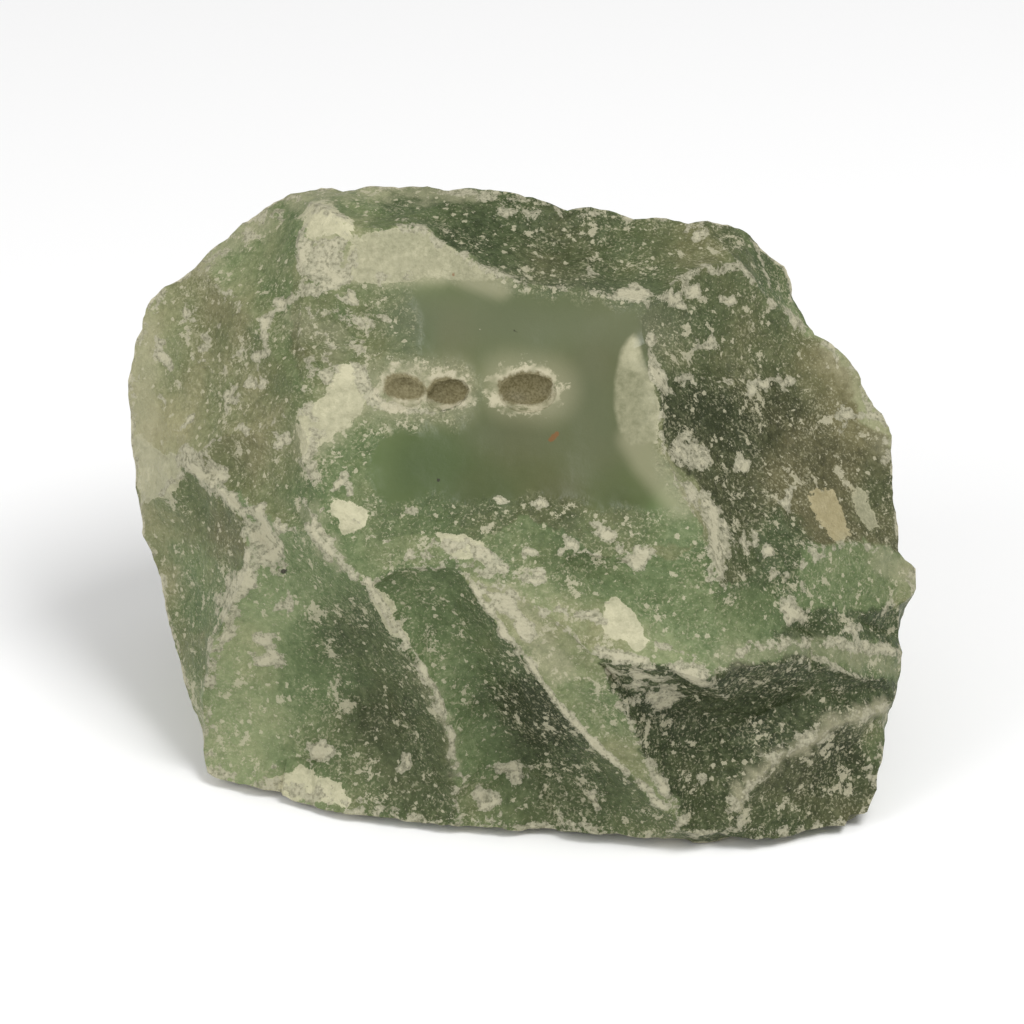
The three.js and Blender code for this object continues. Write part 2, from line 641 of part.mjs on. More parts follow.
// Parts a triangle at the new corners on its edges, where it has any.
function part([a, b, c], [ab, bc, ca]) {
  const count = [ab, bc, ca].filter((cut) => cut !== null).length;
  if (count === 0) return [[a, b, c]];
  if (count === 3) return [[a, ab, ca], [ab, b, bc], [ca, bc, c], [ab, bc, ca]];
  // Turned until the first edge is cut and the last is whole.
  if (ab === null || ca !== null) return part([b, c, a], [bc, ca, ab]);
  if (bc === null) return [[a, ab, c], [ab, b, c]];
  return [[ab, b, bc], [a, ab, bc], [a, bc, c]];
}

function lumpGeometry() {
  let { rays, triangles } = ball();
  const near = neighboursIn(triangles, rays.length);
  for (let i = 0; i < EVENING_ROUNDS; i++) rays = evenOut(rays, near);
  const lump = followRidges({ rays, triangles });
  const geometry = new THREE.BufferGeometry();
  geometry.setFromPoints(lump.rays.map((ray) => surface(ray, FINE_HALVINGS).point));
  geometry.setIndex(lump.triangles.flat());
  return geometry;
}

const wasm = await Module();
wasm.setup();

function solidOf(geometry) {
  const bare = geometry.clone();
  bare.deleteAttribute("normal");
  bare.deleteAttribute("uv");
  const merged = mergeVertices(bare, SAME_PLACE);
  return new wasm.Manifold(
    new wasm.Mesh({
      numProp: 3,
      vertProperties: new Float32Array(merged.getAttribute("position").array),
      triVerts: new Uint32Array(merged.index.array),
    }),
  );
}

function geometryOf(solid) {
  const mesh = solid.getMesh();
  const stride = mesh.numProp;
  const corners = new Float32Array(mesh.numVert * 3);
  for (let i = 0; i < mesh.numVert; i++)
    corners.set(mesh.vertProperties.subarray(i * stride, i * stride + 3), i * 3);
  const geometry = new THREE.BufferGeometry();
  geometry.setAttribute("position", new THREE.BufferAttribute(corners, 3));
  geometry.setIndex(new THREE.BufferAttribute(mesh.triVerts, 1));
  return geometry;
}

// The block under the stone, which leaves the flat spot that it rests on.
function groundCutter() {
  const side = WIDTH * 2;
  return new THREE.BoxGeometry(side, side, side).translate(0, 0, -HEART_HEIGHT - side / 2);
}

function pitCutter({ at, half, along, depth }) {
  const point = placeOf([...at, pitSide(...at).out]);
  const halves = half.map((px) => px * MM_PER_PX);
  const { centre, axes, radii } = dish(point, OUT, sideways(along), halves, depth);
  const bowl = new THREE.SphereGeometry(1, PIT_SPHERE_CUTS, PIT_SPHERE_CUTS / 2);
  bowl.scale(...radii);
  bowl.applyMatrix4(new THREE.Matrix4().makeBasis(...axes).setPosition(centre));
  return bowl;
}

function stoneGeometry() {
  let solid = solidOf(lumpGeometry()).subtract(solidOf(groundCutter()));
  for (const pit of Object.values(PITS)) solid = solid.subtract(solidOf(pitCutter(pit)));
  const geometry = geometryOf(solid);
  geometry.computeBoundingBox();
  const { min, max } = geometry.boundingBox;
  geometry.translate(-(min.x + max.x) / 2, -(min.y + max.y) / 2, -min.z);
  geometry.computeVertexNormals();
  return geometry;
}

const stone = new THREE.Mesh(
  stoneGeometry(),
  new THREE.MeshStandardMaterial({ color: 0x6b7352, roughness: 0.5, metalness: 0 }),
);
stone.name = "aventurine";

const group = new THREE.Group();
group.add(stone);

export default group;
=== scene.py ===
import math
from collections import namedtuple

import bpy
import numpy as np
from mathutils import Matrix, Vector, noise


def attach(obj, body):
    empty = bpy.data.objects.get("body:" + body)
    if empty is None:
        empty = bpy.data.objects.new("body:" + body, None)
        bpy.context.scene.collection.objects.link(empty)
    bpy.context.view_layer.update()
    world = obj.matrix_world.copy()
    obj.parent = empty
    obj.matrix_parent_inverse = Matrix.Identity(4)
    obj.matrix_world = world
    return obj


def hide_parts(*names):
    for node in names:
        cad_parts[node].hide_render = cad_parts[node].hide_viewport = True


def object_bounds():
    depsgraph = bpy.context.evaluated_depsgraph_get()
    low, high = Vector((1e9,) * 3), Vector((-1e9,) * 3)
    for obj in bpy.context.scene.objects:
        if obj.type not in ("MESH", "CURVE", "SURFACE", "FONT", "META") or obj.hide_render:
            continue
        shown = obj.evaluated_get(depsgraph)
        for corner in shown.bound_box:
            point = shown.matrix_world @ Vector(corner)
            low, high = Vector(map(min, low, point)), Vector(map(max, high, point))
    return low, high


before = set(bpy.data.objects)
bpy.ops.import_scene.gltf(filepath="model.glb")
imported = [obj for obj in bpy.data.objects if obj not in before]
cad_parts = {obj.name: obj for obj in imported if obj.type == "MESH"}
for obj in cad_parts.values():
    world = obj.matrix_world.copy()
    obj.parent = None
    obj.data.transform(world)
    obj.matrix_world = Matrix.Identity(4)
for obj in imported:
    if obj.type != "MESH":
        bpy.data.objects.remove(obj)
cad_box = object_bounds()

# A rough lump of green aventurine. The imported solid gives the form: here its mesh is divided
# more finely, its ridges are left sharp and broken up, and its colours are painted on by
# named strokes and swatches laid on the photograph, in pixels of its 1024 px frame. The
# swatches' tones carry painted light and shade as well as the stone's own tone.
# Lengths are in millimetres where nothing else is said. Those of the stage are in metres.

MM_IN_A_METRE = 1000
SAME_PLACE = 0.001  # corners nearer than this are one
ALMOST_NONE = 1e-12  # keeps a division from going to nothing
FAR_AWAY = 1e9  # px

# The photograph's view.
PHOTO_SIZE = 1024
PHOTO_BOX = (128.0, 183.0, 916.0, 846.0)  # the stone's left, top, right and lower edges
LOOKING_DOWN = 30.0  # degrees
LENS = 200.0
SENSOR = 36.0
FIRST_DISTANCE = 600.0  # where the fitting of the camera starts
FITTING_ROUNDS = 14

# The fine mesh.
SHARP_EDGE = 24.0  # degrees between faces, above which an edge stays a ridge
FINER = 2  # times that each triangle is parted in four
FACING_BLUR = 3  # rounds of evening out, of which way the surface faces
BEND_BLUR = 10  # the same, of the form that a ridge stands out from
RIDGE_BEND = 0.12  # how far a full ridge stands out from that form

# Noises: the size of the lumps, where in the noise they start, and the octaves.
Lumps = namedtuple("Lumps", "size start octaves", defaults=(1,))
NOISE_SEED = 1
START_WAY = (1.0, 1.7, -1.0)
SHIFT_WAY = (1.0, -1.0, 0.3)
ROUGHNESS = 1.0
LACUNARITY = 2.0

# The broken surface: the ragged shifts and how far each goes, thin ledges, and a grain.
RAGGED_SHIFTS = [(Lumps(3.1, 1.0), 0.34), (Lumps(1.1, 4.0), 0.16)]
LEDGE_LUMPS = Lumps(8.5, 7.0, 4)
LEDGES = 3.2  # between the middle of a lump and its top
LEDGE_SLOPE = 0.3  # share of a ledge that is its slope
LEDGE_HEIGHT = 0.1
GRAIN_LUMPS = Lumps(1.3, 8.0, 2)
GRAIN_HEIGHT = 0.07
STILLNESS = 0.92  # share of all this that the smooth middle is spared
FLAT_SPOT = 0.3  # up to this height the stone is left as it is, to rest well

# How the painting is shaken, so that no edge in it is a clean line.
WIDE_SHAKE = Lumps(1.6, 3.1)
FINE_SHAKE = Lumps(0.9, 1.3)
EDGE_SHAKE = 5  # px
CHIP_SHAKE = (9, 6)  # px, wide and fine
CALM_REACH = 20  # px round the smooth middle over which the shaking dies out
WAXY_EDGE = Lumps(3.0, 6.0, 3)
WAXY_SHAKE = 12  # px
IN_SIGHT = (0.02, 0.22)  # how squarely a face looks at the eye as its paint comes in

# The strength of the painting.
SWATCH_BLEND = 60  # px², within which a swatch is even
SWATCH_FALL = 1.5  # how soon it gives way to its neighbours
CHIP_STRENGTH = 1.05
BEND_STRENGTH = 0.45
PALE_LUMPS = Lumps(3.5, 11.0, 2)
PALE_MIDDLE = 0.92
PALE_SWING = 0.4
MILK_FULL = 0.75  # share of the way in at which a milky stroke is full

# Out of sight the stone is coloured at random: the lumps of each colouring, its middle, its
# swing either way, and its least and most.
FAR = {
    "tone_and_shade": (Lumps(19, 5.0, 4), -0.15, 1.3, -0.9, 0.7),
    "warm": (Lumps(26, 9.0, 2), 0.35, 0.9, 0, 1),
    "cream": (Lumps(8.0, 6.0, 5), -1.09, 3.0, 0, 1),
    "cream_light": (Lumps(15, 12.0, 2), 0.5, 0.5, 0, 1),
    "worn": (Lumps(7.0, 13.0, 3), 0.35, 1.3, 0, 1),
}
PALE_FAR = Lumps(5.5, 2.0, 4)
PALE_FAR_SWING = 1.1
WORN_RIDGES = 0.6

# What is painted, and where it shows on the photograph.

# The ridges that two scars share.
RIDGES = {
    "brow": [(318, 207), (345, 217), (365, 235), (400, 224), (430, 226), (455, 250), (500, 274),
        (530, 283), (590, 291), (645, 300)],
    "waist": [(318, 500), (350, 512), (378, 540), (415, 532), (455, 548), (492, 534), (520, 516),
        (565, 530), (598, 556), (640, 548)],
    "fin": [(368, 583), (382, 605), (402, 642), (418, 665), (432, 695), (447, 722), (453, 775)],
    "blade": [(465, 577), (482, 602), (504, 635), (531, 667), (551, 700), (576, 727), (602, 753),
        (632, 777), (656, 801), (682, 822)],
    "shell_top": [(385, 575), (405, 560), (425, 568), (450, 560)],
    "shelf_edge": [(595, 655), (625, 660), (665, 668), (700, 671), (712, 678), (735, 661),
        (760, 665), (800, 656), (830, 665), (850, 673), (893, 682)],
    "drop": [(606, 680), (620, 700), (640, 745), (655, 770), (676, 802)],
    "curl": [(733, 803), (747, 780), (770, 760), (800, 745), (830, 722), (860, 712), (875, 706),
        (889, 706)],
    "olive_side": [(243, 520), (250, 575), (226, 610), (214, 645), (204, 700), (205, 745)],
    "olive_foot": [(215, 486), (250, 502), (290, 528), (310, 530)],
}

# Each scar's outline, painted one over the other, with its swatches: a place, a tone from
# dark (-1) to light (1), and a warmth from green (0) to olive brown (1). The tone is partly the
# stone's own and partly painted light and shade: faces turned to the light are painted lighter,
# hollows and undersides darker.
SCARS = {
    # Painted light: the tones of this, the temple, the cheek and the dark olive scars are raised to
    # make up for the shade that falls on the left side.
    "left": (
        [(90, 150), (970, 150), (970, 880), (90, 880)],
        [(150, 340, 0.85, 0.6), (200, 360, 0.35, 0.6), (240, 380, 0.3, 0.6), (170, 430, 0.75, 0.7),
         (150, 480, 0.9, 0.4), (270, 410, 0.1, 0.5), (275, 335, -0.3, 0.3), (290, 375, -0.1, 0.4),
         (220, 330, 0, 0.5), (225, 420, 0.3, 0.5)],
    ),
    "temple": (
        [(180, 240), (300, 160), (300, 292), (290, 345), (303, 395), (268, 350), (225, 290)],
        [(230, 270, 0.5, 0.3), (270, 240, 0.35, 0.3), (245, 320, 0.3, 0.5), (285, 290, 0, 0.2),
         (285, 330, 0.05, 0.3), (290, 240, 0.05, 0.2)],
    ),
    "centre": (
        [(300, 160), *RIDGES["brow"], (636, 335), (645, 350), (655, 378), (660, 400), (658, 440),
         (670, 470), (683, 495), (706, 545), *RIDGES["waist"][::-1], (308, 450), (303, 395),
         (290, 330), (297, 250)],
        [(330, 240, 0.6, 0.3), (420, 260, 0.6, 0.3), (480, 295, -0.1, 0.3), (420, 330, -0.3, 0.1),
         (560, 320, -0.15, 0.3), (610, 310, -0.1, 0.4), (500, 320, -0.2, 0.3),
         (520, 440, -0.45, 0.5), (600, 450, -0.4, 0.4), (430, 470, -0.42, 0.1),
         (480, 495, -0.5, 0.3), (340, 470, 0.1, 0.1), (640, 490, -0.3, 0.3), (668, 505, 0.2, 0.1),
         (690, 530, 0.3, 0.1), (340, 400, 0.6, 0.4), (580, 390, -0.4, 0.4), (450, 335, -0.15, 0.5),
         (600, 365, -0.4, 0.5), (620, 500, -0.5, 0.3), (330, 335, -0.15, 0.5), (340, 300, 0, 0.2),
         (300, 345, -0.2, 0.55), (355, 340, 0.05, 0.45), (312, 370, 0.1, 0.4),
         (430, 530, -0.2, 0.1), (600, 530, 0, 0.4), (560, 500, -0.5, 0.5)],
    ),
    "top_band": (
        [(300, 160), (720, 160), (735, 262), (700, 268), *RIDGES["brow"][::-1]],
        [(400, 207, -0.4, 0.1), (470, 240, -0.7, 0.1), (560, 250, -0.7, 0.3), (650, 260, -0.5, 0.2),
         (710, 240, -0.2, 0.5), (370, 195, 0.3, 0.2), (740, 250, 0, 0.4)],
    ),
    "slab": (
        [(645, 300), (700, 268), (735, 262), (700, 221), (720, 160), (970, 160), (970, 560),
         (903, 552), (880, 543), (850, 541), (812, 545), (775, 562), (745, 580), (721, 587),
         (727, 550), (720, 520), (704, 490), (684, 470), (662, 442), (659, 400), (652, 365),
         (636, 335)],
        [(700, 320, -0.55, 0.3), (760, 330, -0.45, 0.4), (700, 420, -1.1, 0.3),
         (672, 415, -1.1, 0.2), (665, 350, -0.3, 0.4), (690, 455, -0.9, 0.5), (780, 420, -1, 0.5),
         (850, 420, -0.2, 0.8), (740, 500, -1, 0.3), (830, 460, -0.8, 0.7), (780, 540, -0.6, 0.1),
         (870, 500, -0.6, 0.5), (826, 512, -0.5, 1), (800, 300, 0, 0.3), (830, 370, 0.1, 0.8),
         (790, 480, -0.5, 0.9)],
    ),
    "right_rim": (
        [(733, 160), (733, 223), (750, 250), (760, 287), (787, 310), (807, 333), (833, 350),
         (847, 373), (853, 400), (862, 425), (900, 450), (970, 450), (970, 160)],
        [(768, 270, -0.5, 0.1), (795, 315, 0.5, 0.2), (825, 345, 0.7, 0.3), (850, 380, 0.4, 0.5),
         (872, 410, 0.7, 0.4), (745, 225, 0, 0.3), (780, 295, -0.3, 0.1)],
    ),
    "shelf": (
        [*RIDGES["waist"], (668, 562), (706, 545), (721, 587), (745, 580), (775, 562), (812, 545),
         (800, 580), (797, 605), (785, 620), (770, 642), (850, 640), (880, 645), (970, 650),
         (970, 690), *RIDGES["shelf_edge"][::-1], (560, 622), (530, 600), (500, 585), (465, 577),
         *RIDGES["shell_top"][::-1], (368, 583), (345, 570), (310, 530)],
        [(400, 545, 0.2, 0.2), (500, 560, 0.1, 0.2), (570, 560, -0.3, 0.1), (650, 590, 0.1, 0),
         (700, 620, 0.25, 0), (760, 600, -0.2, 0), (740, 640, 0.2, 0.1), (850, 655, 0, 0.2),
         (350, 550, 0.2, 0.1), (540, 620, 0.6, 0.3), (500, 600, 0.7, 0.5), (780, 560, -0.6, 0),
         (670, 650, 0.7, 0.3), (600, 640, 0.5, 0.4), (760, 575, -0.6, 0)],
    ),
    "nose": (
        [(812, 545), (850, 541), (880, 543), (903, 552), (970, 552), (970, 600), (908, 600),
         (880, 607), (850, 612), (815, 612), (797, 605), (800, 580), (800, 555)],
        [(830, 580, 0.1, 0), (880, 575, 0.1, 0.1), (905, 575, 0.4, 0.4)],
    ),
    "under_nose": (
        [(797, 605), (815, 612), (850, 612), (880, 607), (970, 600), (970, 650), (900, 650),
         (880, 645), (850, 640), (800, 640), (770, 642), (785, 620)],
        [(850, 625, -0.7, 0)],
    ),
    "cheek": (
        [(90, 500), (137, 490), (160, 500), (182, 465), (215, 486), *RIDGES["olive_side"],
         (90, 760)],
        [(150, 525, 0.5, 0.6), (160, 580, 0.35, 0.6), (196, 560, 0.2, 0.1), (205, 610, 0.05, 0.1),
         (224, 535, -0.35, 0.5), (195, 500, -0.2, 0.3), (185, 640, 0, 0.4), (198, 690, 0.3, 0.4)],
    ),
    "dark_olive": (
        [(303, 395), (308, 450), (318, 500), *RIDGES["olive_foot"][::-1], (182, 465), (200, 452),
         (215, 438), (265, 428)],
        [(240, 460, 0, 0.6), (275, 470, 0.1, 0.4), (300, 500, 0, 0.2)],
    ),
    # Painted light and shade: the trough's left part is painted lit and its right part, under the
    # fin, painted dark.
    "trough": (
        [*RIDGES["olive_foot"], (345, 570), *RIDGES["fin"], (455, 880), (150, 880), (150, 745),
         *RIDGES["olive_side"][::-1]],
        [(230, 650, 0.8, 0.3), (250, 720, 0.7, 0.2), (230, 770, 0.8, 0.3), (270, 600, 0.7, 0.1),
         (300, 560, 0.2, 0), (310, 680, 0.1, 0), (350, 640, -0.7, 0.1), (380, 720, -0.9, 0.2),
         (420, 780, -0.6, 0.3), (330, 760, -0.3, 0.2), (300, 790, 0.7, 0.3)],
    ),
    # Painted light and shade: lighter by the fin, painted dark along the blade on its right.
    "shell": (
        [*RIDGES["shell_top"], *RIDGES["blade"], (690, 880), (455, 880), *RIDGES["fin"][::-1]],
        [(410, 600, 0, 0), (400, 590, -0.2, 0), (450, 680, 0.2, 0), (470, 740, 0.2, 0),
         (510, 660, -0.6, 0), (560, 750, -0.8, 0.1), (480, 600, -0.6, 0), (600, 790, -0.6, 0.2),
         (470, 810, 0, 0.3), (640, 815, -0.3, 0.3), (520, 700, -1.2, 0.1), (440, 620, 0, 0),
         (550, 730, -1.2, 0.1)],
    ),
    "flank": (
        [(500, 585), (530, 600), (560, 622), (595, 655), *RIDGES["drop"], *RIDGES["blade"][::-1]],
        [(540, 660, 0.4, 0.3), (590, 690, 0.3, 0.2), (640, 770, 0.4, 0.4), (520, 620, 0.6, 0.5)],
    ),
    # Painted shade under the shelf's edge.
    "hollow": (
        [*RIDGES["shelf_edge"], (970, 682), (970, 706), *RIDGES["curl"][::-1], (728, 880),
         (690, 880), (682, 822), *RIDGES["drop"][::-1]],
        [(640, 700, -0.9, 0.1), (700, 720, -1, 0.1), (760, 700, -1, 0.1), (840, 690, -0.8, 0.1),
         (690, 780, -0.9, 0.2), (720, 820, -0.7, 0.3)],
    ),
    # Painted shade below the curl.
    "heel": (
        [(728, 880), (728, 839), *RIDGES["curl"], (970, 706), (970, 880)],
        [(800, 780, -1, 0.3), (850, 750, -1.1, 0.3), (840, 800, -0.8, 0.4), (780, 815, -0.7, 0.3),
         (880, 740, -0.2, 0.3)],
    ),
}

# Bruised, ragged lines: the line, its half width (px) and how strong it is.
PALE_LINES = {
    "fin_root": ([(308, 526), (330, 552), (352, 576)], 5, 0.75),
    "fin": ([(366, 580), (384, 607), (404, 642), (420, 667), (436, 692), (449, 724),
        (456, 772)], 3.4, 0.95),
    "blade": ([(466, 577), (484, 602), (506, 635), (533, 667), (553, 700), (578, 727), (604, 753),
        (634, 777), (658, 801), (684, 822)], 3.6, 0.95),
    "blade_low": ([(655, 772), (670, 795), (682, 822)], 7, 0.8),
    "curl": ([(737, 800), (748, 782), (771, 762), (801, 747), (831, 724), (861, 714),
        (885, 705)], 5, 0.6),
    "shelf_left": ([(595, 652), (625, 658), (665, 666), (700, 669), (712, 678)], 5, 0.8),
    "shelf_right": ([(722, 662), (745, 651), (770, 645), (812, 642), (850, 647),
        (898, 650)], 8, 0.75),
    "shelf_low_right": ([(815, 657), (837, 668), (866, 680)], 5, 0.7),
    "shelf_drop": ([(668, 668), (690, 675), (711, 685)], 6, 0.85),
    "shelf_fold": ([(640, 640), (690, 655), (720, 655)], 4, 0.6),
    "branch_ridge": ([(545, 612), (580, 612), (606, 622)], 6, 0.8),
    "white_tip": ([(184, 463), (206, 480), (238, 506)], 7, 0.9),
    "white_foot": ([(222, 645), (210, 690), (206, 735)], 4, 0.6),
    "ledge": ([(410, 556), (450, 560), (486, 575), (512, 590)], 5, 0.7),
    "ledge_high": ([(440, 545), (470, 548), (500, 570)], 9, 0.75),
    "tongue_side": ([(650, 338), (652, 362), (663, 387)], 7, 0.8),
    "cliff": ([(702, 496), (722, 545), (720, 578)], 10, 0.75),
    "cliff_top": ([(680, 447), (702, 464)], 12, 0.85),
    "pit_left": ([(357, 372), (366, 388), (378, 402)], 8, 0.8),
    "pits_low": ([(380, 406), (410, 412), (440, 414), (464, 404)], 5, 0.75),
    "pit_low": ([(500, 404), (525, 411), (552, 402)], 4, 0.7),
    "patch_edge": ([(372, 232), (396, 228), (420, 228), (446, 246), (470, 260), (502, 276),
        (524, 283)], 7, 0.7),
    "patch_low": ([(345, 268), (380, 282), (405, 276)], 10, 0.45),
    "brow_right": ([(524, 283), (580, 291), (645, 298)], 4, 0.5),
    "rim_top": ([(430, 192), (510, 197), (600, 212)], 6, 0.6),
    "rim_top_patch": ([(500, 208), (540, 212)], 7, 0.75),
    "rim_temple": ([(198, 266), (240, 240), (282, 212)], 10, 0.6),
    "rim_right": ([(862, 416), (886, 420)], 6, 0.8),
    "rim_fold": ([(756, 240), (770, 285), (788, 308), (832, 350), (854, 400)], 2.6, 0.62),
    "rim_notch": ([(792, 312), (802, 325)], 7, 0.6),
    "branch": ([(300, 293), (280, 303), (266, 322), (262, 335), (266, 352), (256, 358)], 5.5, 0.95),
    "branch_top": ([(298, 294), (322, 292)], 6, 0.7),
    "cream_left": ([(308, 408), (318, 440), (306, 462)], 9, 0.7),
    "foot": ([(280, 788), (345, 802)], 9, 0.6),
    "seam": ([(307, 500), (316, 522), (330, 545)], 4, 0.8),
    "pale_corner": ([(186, 452), (204, 462), (214, 476)], 7, 0.8),
}

# Milky places, which fade into the green: the line, its half width (px) and its strength.
MILKY = {
    "patch": ([(352, 268), (400, 266), (440, 266)], 13, 0.8),
    "patch_left": ([(322, 216), (326, 262)], 10, 0.8),
    "patch_right": ([(440, 266), (500, 286)], 10, 0.55),
    "tongue_low": ([(636, 440), (648, 462), (682, 502)], 13, 0.5),
    "rim_top_left": ([(290, 202), (330, 190), (400, 190), (470, 196)], 7, 0.5),
    "fin_low": ([(425, 680), (447, 724), (454, 772)], 5, 0.3),
    "blade_face": ([(500, 596), (530, 630), (560, 668)], 12, 0.5),
    "nose_tip": ([(880, 560), (910, 575)], 10, 0.4),
    "rim_right": ([(830, 350), (868, 400), (888, 450)], 9, 0.3),
    "rim_temple": ([(200, 262), (262, 222)], 10, 0.5),
    "left_edge": ([(142, 330), (136, 400), (142, 470)], 14, 0.5),
    "left": ([(312, 440), (345, 402)], 16, 0.5),
    "around_pits": ([(372, 392), (400, 390), (450, 392)], 24, 0.46),
    "around_pit": ([(510, 385), (545, 390)], 24, 0.46),
    "curl": ([(737, 800), (748, 782), (771, 762), (801, 747), (831, 724), (861, 714),
        (885, 705)], 5, 0.7),
    "shelf_band": ([(720, 658), (800, 648), (850, 655), (895, 668)], 9, 0.3),
    "eye": ([(300, 320), (330, 338), (335, 352)], 12, 0.25),
    "under_waist": ([(310, 512), (335, 560)], 8, 0.35),
}

# Frosted patches: the outline and how thickly it is covered.
FROSTED = {
    "high_left": ([(303, 240), (330, 236), (352, 240), (360, 262), (350, 288), (322, 294),
        (300, 292), (297, 262)], 0.8),
    "white_side": ([(236, 508), (262, 505), (272, 522), (300, 500), (278, 533), (290, 548),
        (282, 560), (262, 572), (246, 600), (238, 625), (226, 648), (216, 640), (217, 598),
        (228, 580), (244, 559), (246, 526)], 0.85),
    "blade_root": ([(466, 577), (500, 590), (528, 612), (542, 640), (522, 640), (490, 606)], 0.8),
    "eye": ([(298, 300), (345, 292), (384, 318), (375, 355), (340, 366), (305, 352)], 0.36),
    "cliff": ([(678, 474), (700, 485), (713, 500), (727, 525), (725, 550), (719, 587), (711, 572),
        (706, 552), (702, 523), (690, 500)], 0.75),
    "left": ([(150, 300), (250, 290), (300, 360), (300, 450), (215, 440), (150, 460),
        (140, 380)], 0.22),
    "over_block": ([(329, 495), (335, 478), (343, 462), (350, 478), (353, 495)], 0.95),
    "chip_low": ([(645, 685), (665, 684), (682, 698), (680, 707), (660, 708), (645, 700)], 0.9),
    "notch": ([(600, 664), (640, 668), (690, 690), (680, 710), (640, 705), (612, 696)], 0.55),
    "chips": ([(582, 515), (612, 525), (660, 548), (650, 578), (630, 572), (600, 548)], 0.6),
    "beside_tongue": ([(644, 333), (658, 338), (660, 360), (676, 382), (668, 396), (656, 385),
        (650, 362)], 0.75),
    "fin_root": ([(305, 500), (322, 520), (350, 560), (366, 580), (352, 582), (325, 555)], 0.55),
}

# Cream patches: the outline and how light it is.
CREAM = {
    "high_left": ([(306, 206), (322, 202), (340, 210), (358, 228), (350, 238), (330, 236),
        (306, 238), (302, 220)], 0.8),
    "patch": ([(352, 240), (372, 230), (394, 226), (420, 226), (446, 244), (470, 258), (500, 276),
        (480, 282), (430, 278), (390, 284), (352, 284), (345, 262)], 0.38),
    "corner": ([(134, 430), (160, 450), (181, 462), (178, 482), (168, 498), (152, 503),
        (136, 500)], 0.48),
    "wedge": ([(331, 388), (341, 364), (361, 362), (361, 376), (346, 394)], 1.05),
    "left": ([(298, 412), (314, 400), (330, 388), (350, 380), (370, 398), (360, 418), (340, 432),
        (318, 452), (304, 462), (299, 440)], 0.72),
    "block": ([(331, 500), (352, 501), (368, 512), (367, 530), (342, 533), (333, 518)], 0.92),
    # The foot's cream is painted lighter to make up for the shade that falls on it.
    "foot": ([(262, 782), (298, 768), (330, 776), (353, 800), (352, 812), (300, 802),
        (272, 796)], 0.95),
    "knob": ([(612, 600), (624, 604), (634, 618), (646, 632), (652, 648), (636, 652), (608, 638),
        (603, 622)], 0.78),
    "tan": ([(811, 489), (838, 490), (844, 518), (848, 540), (838, 545), (824, 530),
        (813, 512)], 0.34),
    "ledge": ([(437, 538), (460, 533), (480, 540), (484, 556), (462, 562), (446, 554)], 0.72),
    "tongue": ([(627, 338), (634, 333), (641, 340), (644, 358), (650, 380), (658, 402), (659, 425),
        (655, 440), (644, 446), (630, 446), (618, 430), (613, 405), (614, 378), (620, 350)], 0.14),
    "tongue_top": ([(624, 345), (634, 333), (641, 342), (646, 362), (640, 372), (622, 364)], 0.6),
    "tongue_crease": ([(640, 358), (646, 360), (658, 400), (659, 425), (655, 440),
        (646, 405)], 0.36),
    "grey_chip": ([(849, 487), (862, 489), (873, 506), (880, 526), (868, 529), (857, 512)], 0.3),
    "fin": ([(366, 578), (380, 588), (392, 604), (400, 620), (412, 652), (400, 640), (384, 622),
        (374, 603)], 0.64),
}
BORDER = 6.0  # px over which a patch comes in, either side of its outline

# Where the smooth middle is grey: the line, its half width (px) and its strength.
GREY = {
    "high": ([(420, 318), (640, 330)], 34, 0.9),
    "right": ([(590, 340), (594, 440)], 30, 0.7),
    "between": ([(480, 430), (560, 440)], 18, 0.5),
}

# Spalled chips: the middle, half width and half height (px).
PALE_CHIPS = [
    (265, 640, 12, 8), (270, 660, 14, 8), (280, 610, 7, 5), (317, 752, 13, 10), (530, 580, 16, 9),
    (530, 555, 9, 6), (540, 505, 9, 5), (607, 535, 13, 8), (640, 560, 12, 13), (745, 465, 9, 7),
    (750, 540, 12, 8), (632, 293, 17, 8), (675, 298, 11, 10), (692, 294, 8, 7), (728, 302, 9, 5),
    (710, 345, 15, 5), (690, 380, 12, 5), (722, 380, 8, 5), (772, 384, 24, 6), (750, 392, 8, 6),
    (846, 420, 6, 14), (512, 770, 16, 8), (485, 800, 18, 10), (660, 694, 18, 13), (640, 682, 10, 6),
    (405, 765, 7, 8), (600, 800, 7, 9), (230, 395, 12, 7), (205, 345, 7, 5), (330, 372, 9, 6),
    (815, 550, 12, 9), (788, 500, 6, 12), (700, 780, 5, 8), (590, 270, 8, 5), (480, 330, 3, 2),
    (270, 560, 12, 12), (786, 575, 10, 5), (770, 555, 6, 5), (795, 610, 9, 12), (850, 632, 11, 6),
    (220, 480, 9, 14), (700, 240, 12, 6), (350, 300, 10, 7), (380, 320, 9, 7), (165, 360, 9, 5),
    (250, 380, 7, 5), (290, 600, 6, 5), (412, 512, 8, 6), (570, 545, 8, 10), (500, 500, 9, 4),
    (809, 370, 3, 8), (185, 310, 6, 8), (210, 335, 7, 6), (240, 350, 5, 4), (160, 400, 5, 6),
    (190, 420, 6, 5), (262, 375, 5, 4), (245, 430, 7, 6), (280, 440, 5, 8), (165, 340, 8, 5),
    (230, 290, 5, 4),
]

# Round pits: the middle and the half sizes of the floor (px), and how dark the floor is
# painted, which is painted shade in the pit.
PITS = [(404, 388, 22, 15, 0.1), (447, 391, 21, 14, 0.5), (525, 389, 29, 18, 1.0)]
PIT_BRUISE = 7  # px that the pale bruise reaches beyond a pit

